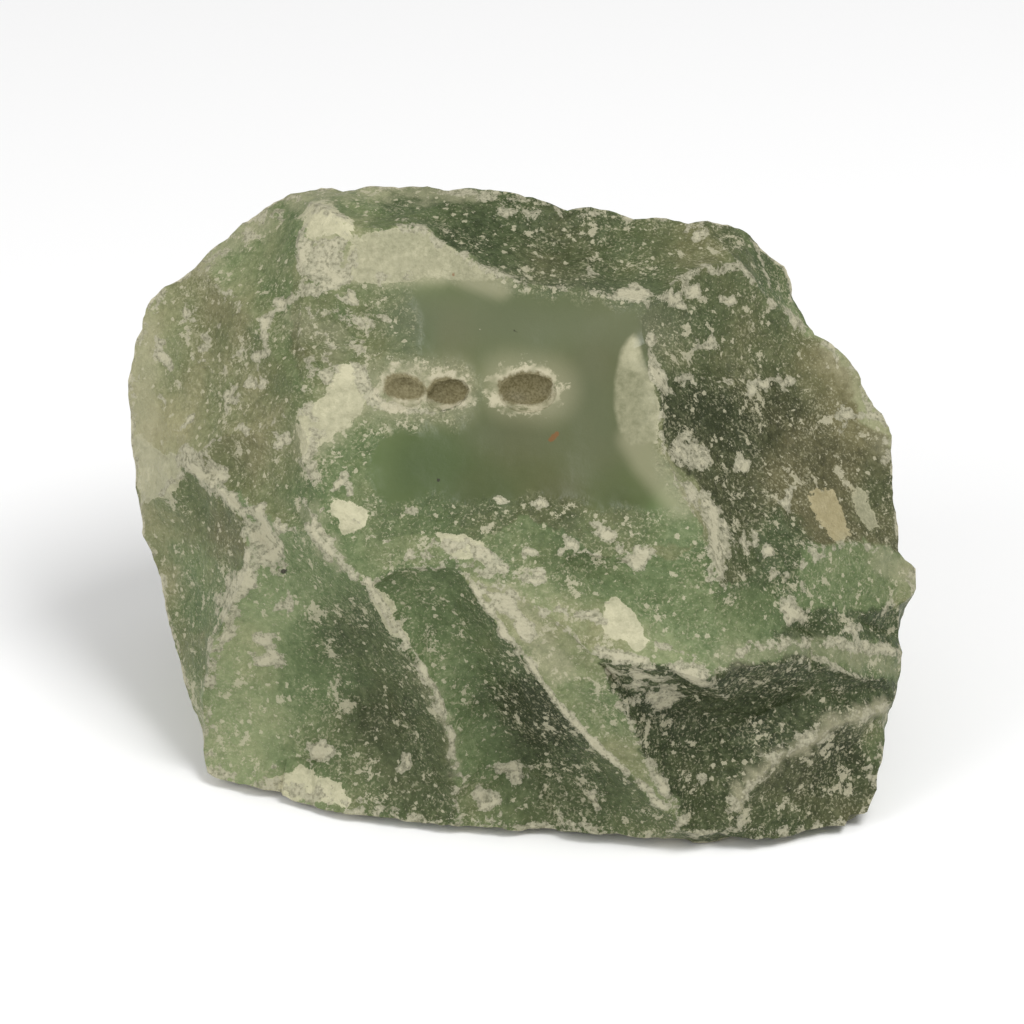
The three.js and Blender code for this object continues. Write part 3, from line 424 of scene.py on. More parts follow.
# The smooth, waxy middle, and small spots on it: middle and half size (px).
WAXY = [(404, 294), (425, 272), (470, 268), (500, 279), (530, 286), (590, 295), (645, 303),
        (650, 350), (658, 400), (656, 440), (668, 475), (684, 510), (640, 518), (590, 510),
        (540, 503), (470, 513), (420, 504), (384, 514), (368, 482), (370, 434), (400, 426),
        (440, 420), (468, 412), (474, 390), (462, 368), (414, 362), (412, 330)]
WAXY_FADE = 12  # px
RUST_SPOTS = [(455, 274, 3, 2.4), (551, 440, 3, 2.6), (554, 437, 3, 2.8), (557, 434, 2.6, 2.4)]
DARK_SPOTS = [(284, 572, 3.6, 2.6), (515, 332, 2.2, 2), (438, 480, 2.2, 2)]

# The fine mesh.


def welded(node):
    """A node's corners in millimetres, each once, and its triangles."""
    mesh = node.data
    mesh.calc_loop_triangles()
    corners = np.empty(len(mesh.vertices) * 3)
    mesh.vertices.foreach_get("co", corners)
    corners = corners.reshape(-1, 3) * MM_IN_A_METRE
    triangles = np.empty(len(mesh.loop_triangles) * 3, int)
    mesh.loop_triangles.foreach_get("vertices", triangles)
    _, first, same = np.unique(
        np.round(corners / SAME_PLACE), axis=0, return_index=True, return_inverse=True
    )
    triangles = same.reshape(-1)[triangles].reshape(-1, 3)
    whole = (triangles != np.roll(triangles, 1, axis=1)).all(axis=1)
    return corners[first], triangles[whole]


def edges_of(triangles):
    """Each edge once, the edge on each triangle's sides, and for each edge the corners
    opposite it and the two triangles that share it."""
    sides = np.stack([triangles, np.roll(triangles, -1, axis=1)], axis=2).reshape(-1, 2)
    edges, on_side = np.unique(np.sort(sides, axis=1), axis=0, return_inverse=True)
    on_side = on_side.reshape(-1)
    opposite = np.roll(triangles, 1, axis=1).reshape(-1)
    order = np.argsort(on_side, kind="stable")
    firsts = np.searchsorted(on_side[order], np.arange(len(edges)))
    pair = np.stack([order[firsts], order[np.minimum(firsts + 1, len(order) - 1)]], axis=1)
    return edges, on_side.reshape(-1, 3), opposite[pair], pair // 3


def face_areas(points, triangles):
    """A vector for each triangle, out of its face and twice its area long."""
    a, b, c = (points[triangles[:, k]] for k in range(3))
    return np.cross(b - a, c - a)


def unit(vectors):
    return vectors / np.maximum(np.linalg.norm(vectors, axis=1, keepdims=True), ALMOST_NONE)


def sharp_edges(points, triangles):
    """The edges whose faces meet at more than SHARP_EDGE."""
    edges, _, _, faces = edges_of(triangles)
    normals = unit(face_areas(points, triangles))
    cosine = (normals[faces[:, 0]] * normals[faces[:, 1]]).sum(axis=1)
    return edges[cosine < math.cos(math.radians(SHARP_EDGE))]


def sums_over_edges(edges, values, count):
    """For each corner, the sum of the values at the other ends of its edges."""
    sums = np.zeros((count, values.shape[1]))
    np.add.at(sums, edges[:, 0], values[edges[:, 1]])
    np.add.at(sums, edges[:, 1], values[edges[:, 0]])
    return sums


def moved_corners(points, edges, kept):
    """The old corners after Loop subdivision. Those on a kept edge move only along it."""
    count = len(points)
    ones = np.ones((count, 1))
    valence = sums_over_edges(edges, ones, count)
    beta = np.where(valence > 3, 3 / (8 * valence), 3 / 16)
    smooth = (1 - valence * beta) * points + beta * sums_over_edges(edges, points, count)
    ridges = sums_over_edges(kept, ones, count)
    along = 0.75 * points + 0.125 * sums_over_edges(kept, points, count)
    return np.where(ridges < 2, smooth, np.where(ridges == 2, along, points))


def new_corners(points, edges, opposite, is_kept):
    """The corner that Loop subdivision puts on each edge: the middle of a kept one."""
    middles = points[edges].mean(axis=1)
    rounded = 0.75 * middles + 0.125 * points[opposite].sum(axis=1)
    return np.where(is_kept[:, None], middles, rounded)


def quarters(triangles, on_side):
    """Each triangle parted in four by the new corners on its sides."""
    a, b, c = triangles.T
    ab, bc, ca = on_side.T
    return np.concatenate([np.stack(corners, axis=1) for corners in (
        (a, ab, ca), (ab, b, bc), (ca, bc, c), (ab, bc, ca),
    )])


def parted(points, triangles, sharp):
    """Loop subdivision: smooth, except along the sharp edges, which it rounds lengthways."""
    edges, on_side, opposite, _ = edges_of(triangles)
    count = len(points)
    keys = edges[:, 0] * count + edges[:, 1]
    sharp = np.sort(sharp, axis=1)
    is_sharp = np.isin(keys, sharp[:, 0] * count + sharp[:, 1])
    kept = edges[is_sharp]
    middle = np.nonzero(is_sharp)[0] + count
    halves = np.concatenate([
        np.stack([kept[:, 0], middle], axis=1), np.stack([middle, kept[:, 1]], axis=1),
    ])
    moved = moved_corners(points, edges, kept)
    added = new_corners(points, edges, opposite, is_sharp)
    return np.concatenate([moved, added]), quarters(triangles, on_side + count), halves


def corner_normals(points, triangles):
    normals = np.zeros_like(points)
    areas = face_areas(points, triangles)
    for k in range(3):
        np.add.at(normals, triangles[:, k], areas)
    return unit(normals)


def averaged(values, edges, times):
    """Each corner's value blurred over its neighbours, this many times."""
    valence = sums_over_edges(edges, np.ones((len(values), 1)), len(values))
    for _ in range(times):
        values = 0.5 * values + 0.5 * sums_over_edges(edges, values, len(values)) / valence
    return values


def noise_at(points, lumps):
    """Fractal noise, about -1 to 1, at each point."""
    start = Vector([lumps.start * way for way in START_WAY])
    return np.array([
        noise.fractal(Vector(p) / lumps.size + start, ROUGHNESS, LACUNARITY, lumps.octaves)
        for p in points
    ])


def shift_at(points, lumps):
    """Noise at each point as a vector."""
    start = Vector([lumps.start * way for way in SHIFT_WAY])
    return np.array([noise.noise_vector(Vector(p) / lumps.size + start) for p in points])


# The camera.

TILT = math.radians(LOOKING_DOWN)
RIGHT = np.array((1.0, 0.0, 0.0))
TO_EYE = np.array((0.0, -math.cos(TILT), math.sin(TILT)))
UP = np.cross(TO_EYE, RIGHT)


class Eye:
    """The place that a photograph was taken from, fitted to the box that the stone fills."""

    def __init__(self, points):
        self.centre = points.mean(axis=0)
        self.distance = FIRST_DISTANCE
        left, top, right, low = PHOTO_BOX
        for _ in range(FITTING_ROUNDS):
            x, y = self.shows(points)
            pixel = self.distance * SENSOR / LENS / PHOTO_SIZE
            self.centre = (
                self.centre
                + RIGHT * ((x.max() + x.min()) / 2 - (left + right) / 2) * pixel
                - UP * ((y.max() + y.min()) / 2 - (top + low) / 2) * pixel
            )
            self.distance *= (x.max() - x.min()) / (right - left)

    def place(self):
        return self.centre + TO_EYE * self.distance

    def shows(self, points):
        """Where on the photograph each point shows, in pixels."""
        away = points - self.place()
        scale = LENS / SENSOR * PHOTO_SIZE / -(away @ TO_EYE)
        return PHOTO_SIZE / 2 + away @ RIGHT * scale, PHOTO_SIZE / 2 - away @ UP * scale


# The painting.


def ease(values, low, high):
    share = np.clip((values - low) / (high - low), 0, 1)
    return share * share * (3 - 2 * share)


def within(polygon, x, y):
    inside = np.zeros(len(x), bool)
    for (xa, ya), (xb, yb) in zip(polygon, polygon[1:] + polygon[:1]):
        if ya == yb:
            continue
        crosses = (ya > y) != (yb > y)
        inside ^= crosses & (x < (xb - xa) * (y - ya) / (yb - ya) + xa)
    return inside


def away_from_line(line, x, y):
    """The distance in pixels from each place to a line."""
    least = np.full(len(x), FAR_AWAY)
    for (xa, ya), (xb, yb) in zip(line, line[1:]):
        dx, dy = xb - xa, yb - ya
        share = np.clip(((x - xa) * dx + (y - ya) * dy) / (dx * dx + dy * dy), 0, 1)
        least = np.minimum(least, np.hypot(xa + share * dx - x, ya + share * dy - y))
    return least


def depth_in(polygon, x, y):
    """The distance in pixels inside a polygon's border, less than 0 outside it."""
    away = away_from_line(polygon + polygon[:1], x, y)
    return np.where(within(polygon, x, y), away, -away)


def patch(polygon, x, y):
    """1 inside a polygon and 0 outside it, 0.5 on its border."""
    return ease(depth_in(polygon, x, y), -BORDER, BORDER)


def swatched(swatches, x, y):
    """Tone, with its painted light and shade, and warmth blended between the swatches by nearness.
    """
    sums, weights = np.zeros((len(x), 2)), np.zeros((len(x), 1))
    for px, py, tone_and_shade, warm in swatches:
        away = ((x - px) ** 2 + (y - py) ** 2)[:, None]
        weight = 1 / (away + SWATCH_BLEND) ** SWATCH_FALL
        sums += weight * np.array((tone_and_shade, warm))
        weights += weight
    return sums / weights


def stroked(strokes, x, y, profile):
    """The strongest stroke at each place. The profile shapes it, from 1 in its middle to 0
    at twice its half width."""
    most = np.zeros(len(x))
    for line, half_width, strength in strokes.values():
        near = profile(1 - away_from_line(line, x, y) / (2 * half_width))
        most = np.maximum(most, near * strength)
    return most


def spots(places, x, y):
    """1 in the middle of each spot, 0.5 at its edge, 0 at twice its size."""
    most = np.zeros(len(x))
    for px, py, half_x, half_y in places:
        reach = np.hypot((x - px) / half_x, (y - py) / half_y)
        most = np.maximum(most, np.clip(1 - reach / 2, 0, 1))
    return most


def shaken_places(points, x, y):
    """The places shifted at random: a little, the same but still in the smooth middle, and
    more but still in the smooth middle."""
    wide, fine = (shift_at(points, lumps)[:, :2].T for lumps in (WIDE_SHAKE, FINE_SHAKE))
    roaming = 1 - ease(depth_in(WAXY, x, y), -CALM_REACH, 0)
    here = np.stack([x, y])
    little = wide * EDGE_SHAKE
    more = wide * CHIP_SHAKE[0] + fine * CHIP_SHAKE[1]
    return here + little, here + little * roaming, here + more * roaming


def toned_and_shaded(places, shaken):
    """Each scar's own tone, painted light and shade included, and warmth, the later scars over
    the earlier.
    """
    tones = np.zeros((len(places[0]), 2))
    for polygon, swatches in SCARS.values():
        inside = within(polygon, *places)
        tones[inside] = swatched(swatches, *shaken[:, inside])
    return tones.T


def paleness(points, x, y, shaken):
    """Bruised lines, frosted patches and spalled chips."""
    pale = stroked(PALE_LINES, x, y, lambda near: np.clip(near, 0, 1))
    for polygon, strength in FROSTED.values():
        pale = np.maximum(pale, strength * patch(polygon, *shaken))
    pale = np.maximum(pale, CHIP_STRENGTH * spots(PALE_CHIPS, *shaken))
    return pale * (PALE_MIDDLE + PALE_SWING * noise_at(points, PALE_LUMPS))


def creaminess(x, y):
    """How far each place is cream, and how light the cream is there."""
    cream, light = np.zeros(len(x)), np.zeros(len(x))
    for polygon, lightness in CREAM.values():
        cover = patch(polygon, x, y)
        light = light + (lightness - light) * cover
        cream = np.maximum(cream, cover)
    return cream, light


def waxy_share(points, x, y):
    """1 in the smooth middle, fading at its edge."""
    depth = depth_in(WAXY, x, y) + WAXY_SHAKE * noise_at(points, WAXY_EDGE)
    return ease(depth, 0, WAXY_FADE)


def in_sight(points, x, y, bend):
    """The colouring that the photograph shows, by name."""
    toned_place, edged, shaken = shaken_places(points, x, y)
    # The tone holds painted light and shade as well as the stone's own tone.
    tone_and_shade, warm = toned_and_shaded(toned_place, shaken)
    cream, cream_light = creaminess(*edged)
    floors = [place[:4] for place in PITS]
    rims = [(px, py, half_x + PIT_BRUISE, half_y + PIT_BRUISE) for px, py, half_x, half_y in floors]
    return {
        "tone_and_shade": tone_and_shade,
        "warm": warm,
        "pale": np.maximum(paleness(points, x, y, shaken), BEND_STRENGTH * np.clip(bend, 0, 1)),
        "milk": stroked(MILKY, *shaken, lambda near: ease(near, 0, MILK_FULL)),
        "cream": cream,
        "cream_light": cream_light,
        "grey": stroked(GREY, x, y, lambda near: ease(near, 0, 1)),
        "waxy": waxy_share(points, x, y),
        "pit": spots(floors, x, y) * 2,
        "rim": spots(rims, x, y) * 2,
        "rust": spots(RUST_SPOTS, x, y),
        "dirt": spots(DARK_SPOTS, x, y),
    }


def out_of_sight(points, bend):
    """The colouring of what the photograph hides, by name: marks of the same kinds."""
    values = {}
    for name, (lumps, middle, swing, least, most) in FAR.items():
        values[name] = np.clip(middle + swing * noise_at(points, lumps), least, most)
    worn = WORN_RIDGES * values.pop("worn") * bend
    pale = PALE_FAR_SWING * noise_at(points, PALE_FAR) + worn
    values["pale"] = np.clip(pale, 0, PALE_FAR_SWING)
    return values


def painted(points, normals, eye, bend):
    """The stone's colouring at each corner, by name."""
    x, y = eye.shows(points)
    front = ease(normals @ TO_EYE, *IN_SIGHT)
    far = out_of_sight(points, bend)
    colouring = {
        name: values * front + far.get(name, 0) * (1 - front)
        for name, values in in_sight(points, x, y, bend).items()
    }
    # Painted shade: how far each pit's floor is darkened.
    floor_shades = [(px, py, dark, 0) for px, py, _, _, dark in PITS]
    colouring["pit_floor_shade"] = swatched(floor_shades, x, y)[:, 0]
    return colouring


# The stone.


def broken_up(points, triangles, still):
    """Ragged ridges, thin ledges and a little grain, hardly any of it where it is still."""
    normals = corner_normals(points, triangles)
    rough = (1 - STILLNESS * still)[:, None]
    lifted = points[:, 2:3] > FLAT_SPOT
    ragged = sum(reach * shift_at(points, lumps) for lumps, reach in RAGGED_SHIFTS)
    steps = noise_at(points, LEDGE_LUMPS) * LEDGES
    ledges = np.floor(steps) + ease(steps - np.floor(steps), 0.0, LEDGE_SLOPE)
    grain = GRAIN_HEIGHT * noise_at(points, GRAIN_LUMPS) + LEDGE_HEIGHT * ledges
    return points + (ragged + normals * grain[:, None]) * rough * lifted


def fine_stone():
    """The stone's corners, triangles, sharp edges and colouring."""
    points, triangles = welded(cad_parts["aventurine"])
    sharp = sharp_edges(points, triangles)
    for _ in range(FINER):
        points, triangles, sharp = parted(points, triangles, sharp)
    edges = edges_of(triangles)[0]
    normals = corner_normals(points, triangles)
    outward = points - averaged(points, edges, BEND_BLUR)
    bend = (outward * normals).sum(axis=1) / RIDGE_BEND
    eye = Eye(points)
    colouring = painted(points, averaged(normals, edges, FACING_BLUR), eye, bend)
    still = ease(depth_in(WAXY, *eye.shows(points)), -WAXY_FADE, 2 * WAXY_FADE)
    points = broken_up(points, triangles, still * (normals @ TO_EYE > 0))
    low, high = (np.array(corner) * MM_IN_A_METRE for corner in cad_box)
    return np.clip(points, low, high), triangles, sharp, colouring


def stone_object(points, triangles, sharp, colouring):
    """The stone as an object of the scene, with its colouring as named attributes."""
    mesh = bpy.data.meshes.new("stone")
    mesh.from_pydata((points / MM_IN_A_METRE).tolist(), [], triangles.tolist())
    mesh.shade_smooth()
    for name, values in colouring.items():
        layer = mesh.attributes.new(name, "FLOAT", "POINT")
        layer.data.foreach_set("value", values.astype(np.float32))
    sharp_keys = {tuple(edge) for edge in np.sort(sharp, axis=1).tolist()}
    for edge in mesh.edges:
        edge.use_edge_sharp = tuple(sorted(edge.vertices)) in sharp_keys
    stone = bpy.data.objects.new("stone", mesh)
    bpy.context.scene.collection.objects.link(stone)
    return stone


noise.seed_set(NOISE_SEED)  # without it the shifts would differ from run to run
points, triangles, sharp, colouring = fine_stone()
stone = stone_object(points, triangles, sharp, colouring)

# The material's tools.

material = bpy.data.materials.new("aventurine")
material.use_nodes = True
nodes, links = material.node_tree.nodes, material.node_tree.links
shader = nodes["Principled BSDF"]

# Colours, in sRGB from 0 to 255.
PALETTE = {
    "green_dark": (35, 45, 12),
    "green": (85, 101, 61),
    "green_light": (144, 156, 112),
    "olive_dark": (53, 52, 26),
    "olive": (105, 101, 67),
    "olive_light": (164, 159, 121),
    "grey": (97, 101, 78),
    "milk": (166, 161, 132),
    "frost": (164, 160, 130),
    "marks": (176, 171, 144),
    "cream_dark": (122, 122, 94),
    "cream_light": (194, 189, 158),
    "cream_warm": (168, 148, 100),
    "bruise_dark": (118, 116, 94),
    "bruise_light": (168, 164, 140),
    "bright": (180, 175, 148),
    "rim": (184, 177, 150),
    "floor_dark": (84, 77, 46),
    "floor_light": (134, 127, 95),
    "rust": (120, 76, 38),
    "dirt": (44, 40, 30),
}

# How far each layer covers what is under it.
COVER = {
    "grey": 0.65,
    "milk": 0.85,
    "frost": 0.42,
    "marks": 0.72,
    "cream": 0.9,
    "cream_warm": 0.45,
    "bruise": 0.85,
    "bright": 0.8,
    "rim": 0.85,
    "rust": 0.7,
    "dirt": 0.9,
}

# Where each layer comes in: nothing at the first value, all at the second.
BANDS = {
    "dark_to_middle": (0.0, 0.5),
    "middle_to_light": (0.5, 1.1),
    "warm": (0.0, 0.9),
    "milk": (0.0, 1.0),
    "frost": (0.55, 0.64),
    "blotch": (0.6, 0.63),
    "speck_reach": (0.27, 0.2),
    "speck_chance": (0.58, 0.61),
    "off_the_wax": (0.6, 0.1),
    "cream_crisp": (0.45, 0.55),
    "cream_soft": (0.3, 0.95),
    "cream_fringe": (0.95, 0.5),
    "cream_warm": (0.55, 0.9),
    "bloom": (0.44, 0.52),
    "frayed": (0.3, 0.6),
    "bright": (0.85, 1.05),
    "rim": (0.86, 1.1),
    "rim_gaps": (0.3, 0.62),
    "floor_grain": (0.3, 0.7),
    "pit": (0.9, 1.15),
    "rust": (0.4, 0.6),
    "dirt": (0.4, 0.55),
}

# Mottling: the size of its lumps, its detail, the detail's roughness, and its distortion.
MOTTLES = {
    "broad": (7.0, 3, 0.55, 0.0),
    "fine": (0.85, 4, 0.7, 0.0),
    "sparse": (5.0, 2, 0.55, 0.0),
    "frost": (0.32, 2, 0.6, 0.0),
    "blotch": (1.9, 5, 0.72, 0.0),
    "ragged": (1.9, 5, 0.72, 0.2),
    "frayed": (0.45, 3, 0.6, 0.0),
    "rim_gaps": (2.2, 2, 0.55, 0.0),
    "floor_grain": (0.3, 2, 0.55, 0.0),
    "relief": (0.35, 2, 0.55, 0.0),
}


def palette(name):
    """A colour of the palette in linear values."""
    return tuple(((c / 255 + 0.055) / 1.055) ** 2.4 for c in PALETTE[name]) + (1.0,)


def feed(socket, value):
    if isinstance(value, bpy.types.NodeSocket):
        links.new(value, socket)
    else:
        socket.default_value = value


def attribute(name):
    node = nodes.new("ShaderNodeAttribute")
    node.attribute_name = name
    return node.outputs["Fac"]


def maths(operation, a, b):
    node = nodes.new("ShaderNodeMath")
    node.operation = operation
    feed(node.inputs[0], a)
    feed(node.inputs[1], b)
    return node.outputs[0]


def minus(a, b):
    return maths("SUBTRACT", a, b)


def times(a, b):
    return maths("MULTIPLY", a, b)


def total(*values):
    out = values[0]
    for value in values[1:]:
        out = maths("ADD", out, value)
    return out


def band(value, name, eased=True):
    """How far a value is on its way through the named band, 0 to 1."""
    first, last = BANDS[name]
    node = nodes.new("ShaderNodeMapRange")
    node.interpolation_type = "SMOOTHSTEP" if eased else "LINEAR"
    feed(node.inputs["Value"], value)
    node.inputs["From Min"].default_value = min(first, last)
    node.inputs["From Max"].default_value = max(first, last)
    node.inputs["To Min"].default_value = 0 if first < last else 1
    node.inputs["To Max"].default_value = 1 if first < last else 0
    return node.outputs["Result"]


def mixed(a, b, share):
    node = nodes.new("ShaderNodeMix")
    node.data_type = "RGBA"
    feed(node.inputs[0], share)
    feed(node.inputs[6], a)
    feed(node.inputs[7], b)
    return node.outputs[2]


def laid_on(colour, name, share):
    """A colour with the palette's colour of this name over it, as far as its cover goes."""
    return mixed(colour, palette(name), times(share, COVER[name]))


def three_tones(dark, middle, light, lightness):
    lower = mixed(palette(dark), palette(middle), band(lightness, "dark_to_middle", eased=False))
    return mixed(lower, palette(light), band(lightness, "middle_to_light", eased=False))


def place_in_mm():
    coordinates = nodes.new("ShaderNodeTexCoord")
    in_mm = nodes.new("ShaderNodeVectorMath")
    in_mm.operation = "SCALE"
    in_mm.inputs["Scale"].default_value = MM_IN_A_METRE
    links.new(coordinates.outputs["Object"], in_mm.inputs[0])
    return in_mm.outputs["Vector"]


def noise_node(scale, detail):
    node = nodes.new("ShaderNodeTexNoise")
    links.new(place, node.inputs["Vector"])
    node.inputs["Scale"].default_value = scale
    node.inputs["Detail"].default_value = detail
    return node


def mottle(name):
    """The named mottling, 0.5 in the middle."""
    size, detail, roughness, distortion = MOTTLES[name]
    node = noise_node(1 / size, detail)
    node.inputs["Roughness"].default_value = roughness
    node.inputs["Distortion"].default_value = distortion
    return node.outputs["Fac"]


def swing(name):
    """The named mottling, 0 in the middle."""
    return minus(mottle(name), 0.5)


# The material's layers.

# Specks: the size of the grid that they lie on, and how it is shaken to make them jagged.
SPECK_GRID = 1.15
SHAKE_SCALE = 2.2
SHAKE_DETAIL = 3
SHAKE_REACH = (0.9, 0.9, 0.9)

# The shares of the mottling that are left in the smooth middle.
BROAD_IN_WAX = 0.25
FINE_IN_WAX = 0.12

# The green: its lightness, and how far the tone (painted light and shade included) and each
# mottling swing it or a layer.
MIDDLE_LIGHT = 0.5
TONE_AND_SHADE_SWING = 0.45
BROAD_SWING = 0.38
FINE_SWING = 0.6
WARM_SWING = 0.9
MILK_SWING = 0.5
FROST_SWING = 0.3
BLOTCH_SWING = 0.35

# Cream: how ragged its edge is, where it is soft, and its lightness.
CREAM_RAGGED = 1.7
CREAM_RAGGED_IN_WAX = 0.5
CREAM_SOFT_COVER = 0.95
CREAM_BROAD_SWING = 0.5
FRINGE_LIGHT = 0.3

# Bruises, pits and spots: how ragged each is, and the pits' floors, with their painted shade.
BRUISE_RAGGED = 1.8
BRUISE_IN_WAX = -0.3
BRIGHT_FRAYED = 0.4
RIM_RAGGED = 2.4
PIT_RAGGED = 0.9
FLOOR_GRAIN = 0.5
FLOOR_LIGHT = 0.38
FLOOR_SHADE = -0.36
SPOT_RAGGED = 0.5

# The finish: the gloss of the smooth middle, and what each rougher thing adds to it.
WAX_ROUGHNESS = 0.36
ROUGH_ADDS = 0.12
BLOOM_ADDS = 0.1
FINE_ADDS = 0.2
PIT_ADDS = 0.2
QUARTZ_IOR = 1.54
SPECULAR_LEVEL = 0.25
RELIEF_STRENGTH = 0.8
RELIEF_HEIGHT = 0.0003  # m
GRAIN_RELIEF = 0.6
BLOOM_RELIEF = 0.06

place = place_in_mm()
tone_and_shade, warm, pale, waxy = (attribute(name) for name in ("tone_and_shade", "warm", "pale", "waxy"))
rough_share = minus(1.0, waxy)
fine = swing("fine")
fine_rough = times(fine, total(rough_share, FINE_IN_WAX))
broad = times(swing("broad"), total(times(rough_share, 1 - BROAD_IN_WAX), BROAD_IN_WAX))
sparse = swing("sparse")
ragged = swing("ragged")


# Small white specks: partly small flakes and partly painted glints.
def specks():
    shake = noise_node(SHAKE_SCALE, SHAKE_DETAIL)
    shaken = nodes.new("ShaderNodeVectorMath")
    shaken.operation = "MULTIPLY_ADD"
    links.new(shake.outputs["Color"], shaken.inputs[0])
    shaken.inputs[1].default_value = SHAKE_REACH
    links.new(place, shaken.inputs[2])
    grains = nodes.new("ShaderNodeTexVoronoi")
    links.new(shaken.outputs["Vector"], grains.inputs["Vector"])
    grains.inputs["Scale"].default_value = 1 / SPECK_GRID
    chance = nodes.new("ShaderNodeSeparateColor")
    links.new(grains.outputs["Color"], chance.inputs["Color"])
    return times(
        band(grains.outputs["Distance"], "speck_reach"),
        band(chance.outputs["Red"], "speck_chance"),
    )


def green_stone():
    """Green to olive, mottled more where it is rough, grey and milky in places, and lighter
    and darker by the tone, which holds painted light and shade.
    """
    light = total(
        MIDDLE_LIGHT,
        # The tone brings in painted light and shade.
        times(tone_and_shade, TONE_AND_SHADE_SWING),
        times(broad, BROAD_SWING),
        times(fine_rough, FINE_SWING),
    )
    green = three_tones("green_dark", "green", "green_light", light)
    olive = three_tones("olive_dark", "olive", "olive_light", light)
    colour = mixed(green, olive, band(total(warm, times(broad, WARM_SWING)), "warm"))
    colour = laid_on(colour, "grey", attribute("grey"))
    milk = total(attribute("milk"), times(times(fine, rough_share), MILK_SWING))
    return laid_on(colour, "milk", band(milk, "milk", eased=False))


def frosted(colour):
    """Frost-like specks all over the rough places, partly small flakes and partly painted glints,
    and blotches where it has spalled.
    """
    frost = band(total(mottle("frost"), times(sparse, FROST_SWING)), "frost")
    colour = laid_on(colour, "frost", times(frost, rough_share))
    blotch = band(total(mottle("blotch"), times(sparse, BLOTCH_SWING)), "blotch")
    marks = times(maths("MAXIMUM", blotch, specks()), band(waxy, "off_the_wax"))
    return laid_on(colour, "marks", marks)


def creamy(colour):
    """Cream patches, crisp and uneven at the edge where it is rough and soft where smooth."""
    cover = attribute("cream")
    rag = total(times(rough_share, CREAM_RAGGED), CREAM_RAGGED_IN_WAX)
    uneven = total(cover, times(ragged, rag))
    crisp = band(uneven, "cream_crisp")
    soft = times(band(cover, "cream_soft"), CREAM_SOFT_COVER)
    cream = total(times(crisp, rough_share), times(soft, waxy))
    fringe = times(band(uneven, "cream_fringe"), times(rough_share, FRINGE_LIGHT))
    light = total(attribute("cream_light"), fine, times(broad, CREAM_BROAD_SWING), fringe)
    cream_colour = mixed(palette("cream_dark"), palette("cream_light"), light)
    cream_colour = laid_on(cream_colour, "cream_warm", band(warm, "cream_warm"))
    return mixed(colour, cream_colour, times(cream, COVER["cream"]))


def bruised(colour):
    """Bruised ridges and chips with ragged edges, and where they are."""
    bruise = total(pale, times(ragged, BRUISE_RAGGED), times(waxy, BRUISE_IN_WAX))
    bloom = band(bruise, "bloom")
    frayed = mottle("frayed")
    bloom_colour = mixed(palette("bruise_dark"), palette("bruise_light"), band(frayed, "frayed"))
    colour = mixed(colour, bloom_colour, times(bloom, COVER["bruise"]))
    bright = band(total(bruise, times(frayed, BRIGHT_FRAYED)), "bright")
    return laid_on(colour, "bright", bright), bloom


def pitted(colour):
    """A pale bruise round each pit's brown, grainy floor, the floor darkened by painted shade,
    and where the floors are.
    """
    rim = band(total(attribute("rim"), times(ragged, RIM_RAGGED)), "rim")
    colour = laid_on(colour, "rim", times(rim, band(mottle("rim_gaps"), "rim_gaps")))
    grain = times(band(mottle("floor_grain"), "floor_grain"), FLOOR_GRAIN)
    # Painted shade darkens each pit's floor by its share.
    light = total(FLOOR_LIGHT, grain, times(attribute("pit_floor_shade"), FLOOR_SHADE))
    floor_colour = mixed(palette("floor_dark"), palette("floor_light"), light)
    pit = band(total(attribute("pit"), times(ragged, PIT_RAGGED)), "pit")
    return mixed(colour, floor_colour, pit), pit


def spotted(colour, name):
    """Small spots of rust or dirt."""
    spot = band(total(attribute(name), times(fine, SPOT_RAGGED)), name)
    return laid_on(colour, name, spot)


def relief(bloom):
    bump = nodes.new("ShaderNodeBump")
    bump.inputs["Strength"].default_value = RELIEF_STRENGTH
    bump.inputs["Distance"].default_value = RELIEF_HEIGHT
    height = total(
        fine_rough,
        times(times(mottle("relief"), rough_share), GRAIN_RELIEF),
        times(bloom, BLOOM_RELIEF),
    )
    links.new(height, bump.inputs["Height"])
    return bump.outputs["Normal"]


def finish(colour, bloom, pit):
    links.new(colour, shader.inputs["Base Color"])
    roughness = total(
        WAX_ROUGHNESS,
        times(rough_share, ROUGH_ADDS),
        times(bloom, BLOOM_ADDS),
        times(fine_rough, FINE_ADDS),
        times(pit, PIT_ADDS),
    )
    links.new(roughness, shader.inputs["Roughness"])
    shader.inputs["IOR"].default_value = QUARTZ_IOR
    shader.inputs["Specular IOR Level"].default_value = SPECULAR_LEVEL
    links.new(relief(bloom), shader.inputs["Normal"])


colour = creamy(frosted(green_stone()))
colour, bloom = bruised(colour)
colour, pit = pitted(colour)
for name in ("rust", "dirt"):
    colour = spotted(colour, name)
finish(colour, bloom, pit)
stone.data.materials.append(material)

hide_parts("aventurine")
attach(stone, "root")

# The floor, the lights and the camera.

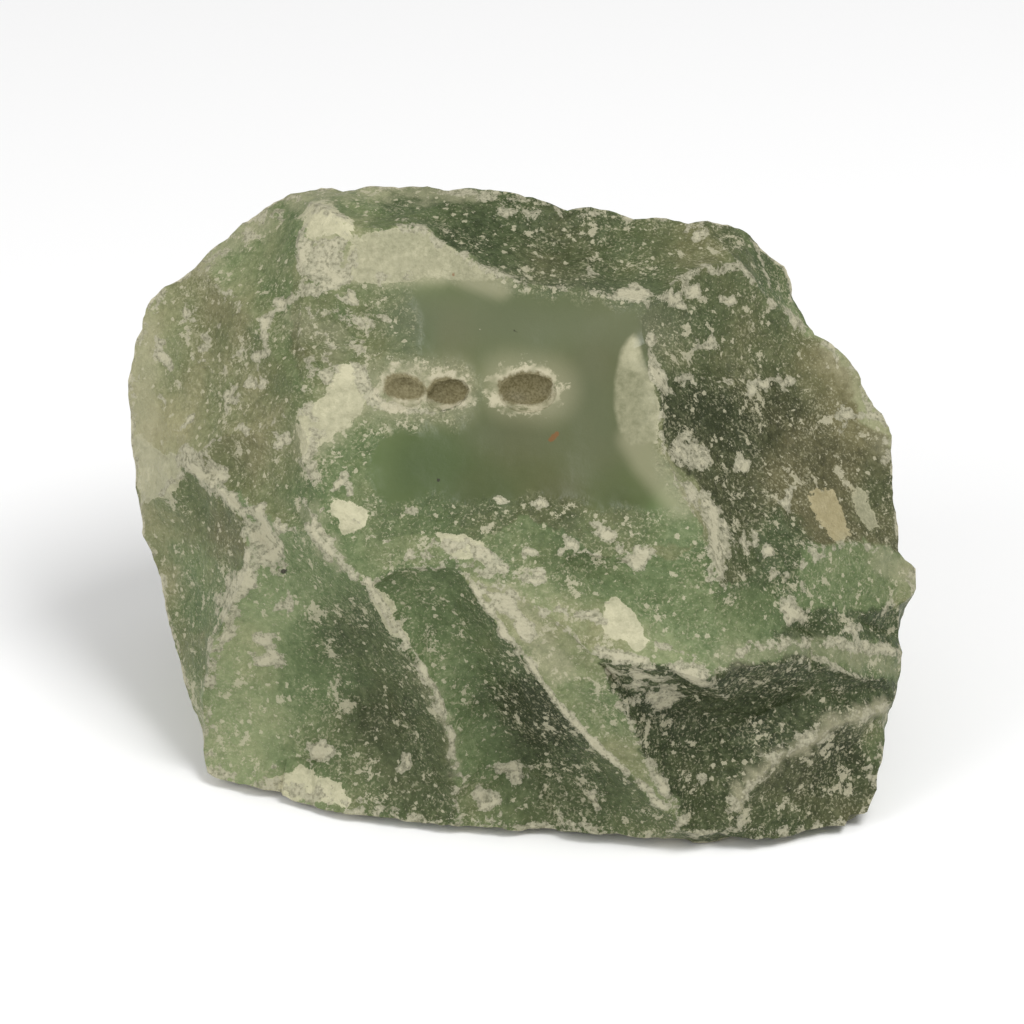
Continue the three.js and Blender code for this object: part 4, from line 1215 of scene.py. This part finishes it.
FLOOR_HALF_SIDE = 6.0
PAPER = (0.97, 0.97, 0.97, 1)
PAPER_ROUGHNESS = 0.9

# Each soft box's place, size and power (W).
SOFTBOXES = {
    "key": ((0.24, -0.24, 0.62), 0.3, 3.1),
    "fill": ((-0.6, -0.35, 0.4), 0.5, 2.3),
}
ROOM_WHITE = (1, 1, 1, 1)
ROOM_STRENGTH = 0.5


def studio_floor():
    side = FLOOR_HALF_SIDE
    floor_mesh = bpy.data.meshes.new("floor")
    corners = [(-side, -side, 0), (side, -side, 0), (side, side, 0), (-side, side, 0)]
    floor_mesh.from_pydata(corners, [], [(0, 1, 2, 3)])
    floor = bpy.data.objects.new("floor", floor_mesh)
    bpy.context.scene.collection.objects.link(floor)
    paper = bpy.data.materials.new("paper")
    paper.use_nodes = True
    paper_shader = paper.node_tree.nodes["Principled BSDF"]
    paper_shader.inputs["Base Color"].default_value = PAPER
    paper_shader.inputs["Roughness"].default_value = PAPER_ROUGHNESS
    floor_mesh.materials.append(paper)


def softbox(name, location, size, power):
    light = bpy.data.lights.new(name, "AREA")
    light.size = size
    light.energy = power
    lamp = bpy.data.objects.new(name, light)
    lamp.location = location
    lamp.rotation_euler = Vector(location).to_track_quat("Z", "Y").to_euler()
    bpy.context.scene.collection.objects.link(lamp)


def white_room():
    world = bpy.data.worlds.new("room")
    world.use_nodes = True
    background = world.node_tree.nodes["Background"]
    background.inputs["Color"].default_value = ROOM_WHITE
    background.inputs["Strength"].default_value = ROOM_STRENGTH
    bpy.context.scene.world = world


def camera_at(eye):
    lens = bpy.data.cameras.new("camera")
    lens.lens = LENS
    lens.sensor_width = SENSOR
    camera = bpy.data.objects.new("camera", lens)
    camera.location = eye.place() / MM_IN_A_METRE
    camera.rotation_euler = Vector(TO_EYE).to_track_quat("Z", "Y").to_euler()
    bpy.context.scene.collection.objects.link(camera)
    bpy.context.scene.camera = camera


studio_floor()
for name, (location, size, power) in SOFTBOXES.items():
    softbox(name, location, size, power)
white_room()
camera_at(Eye(points))
bpy.context.scene.view_settings.view_transform = "Standard"
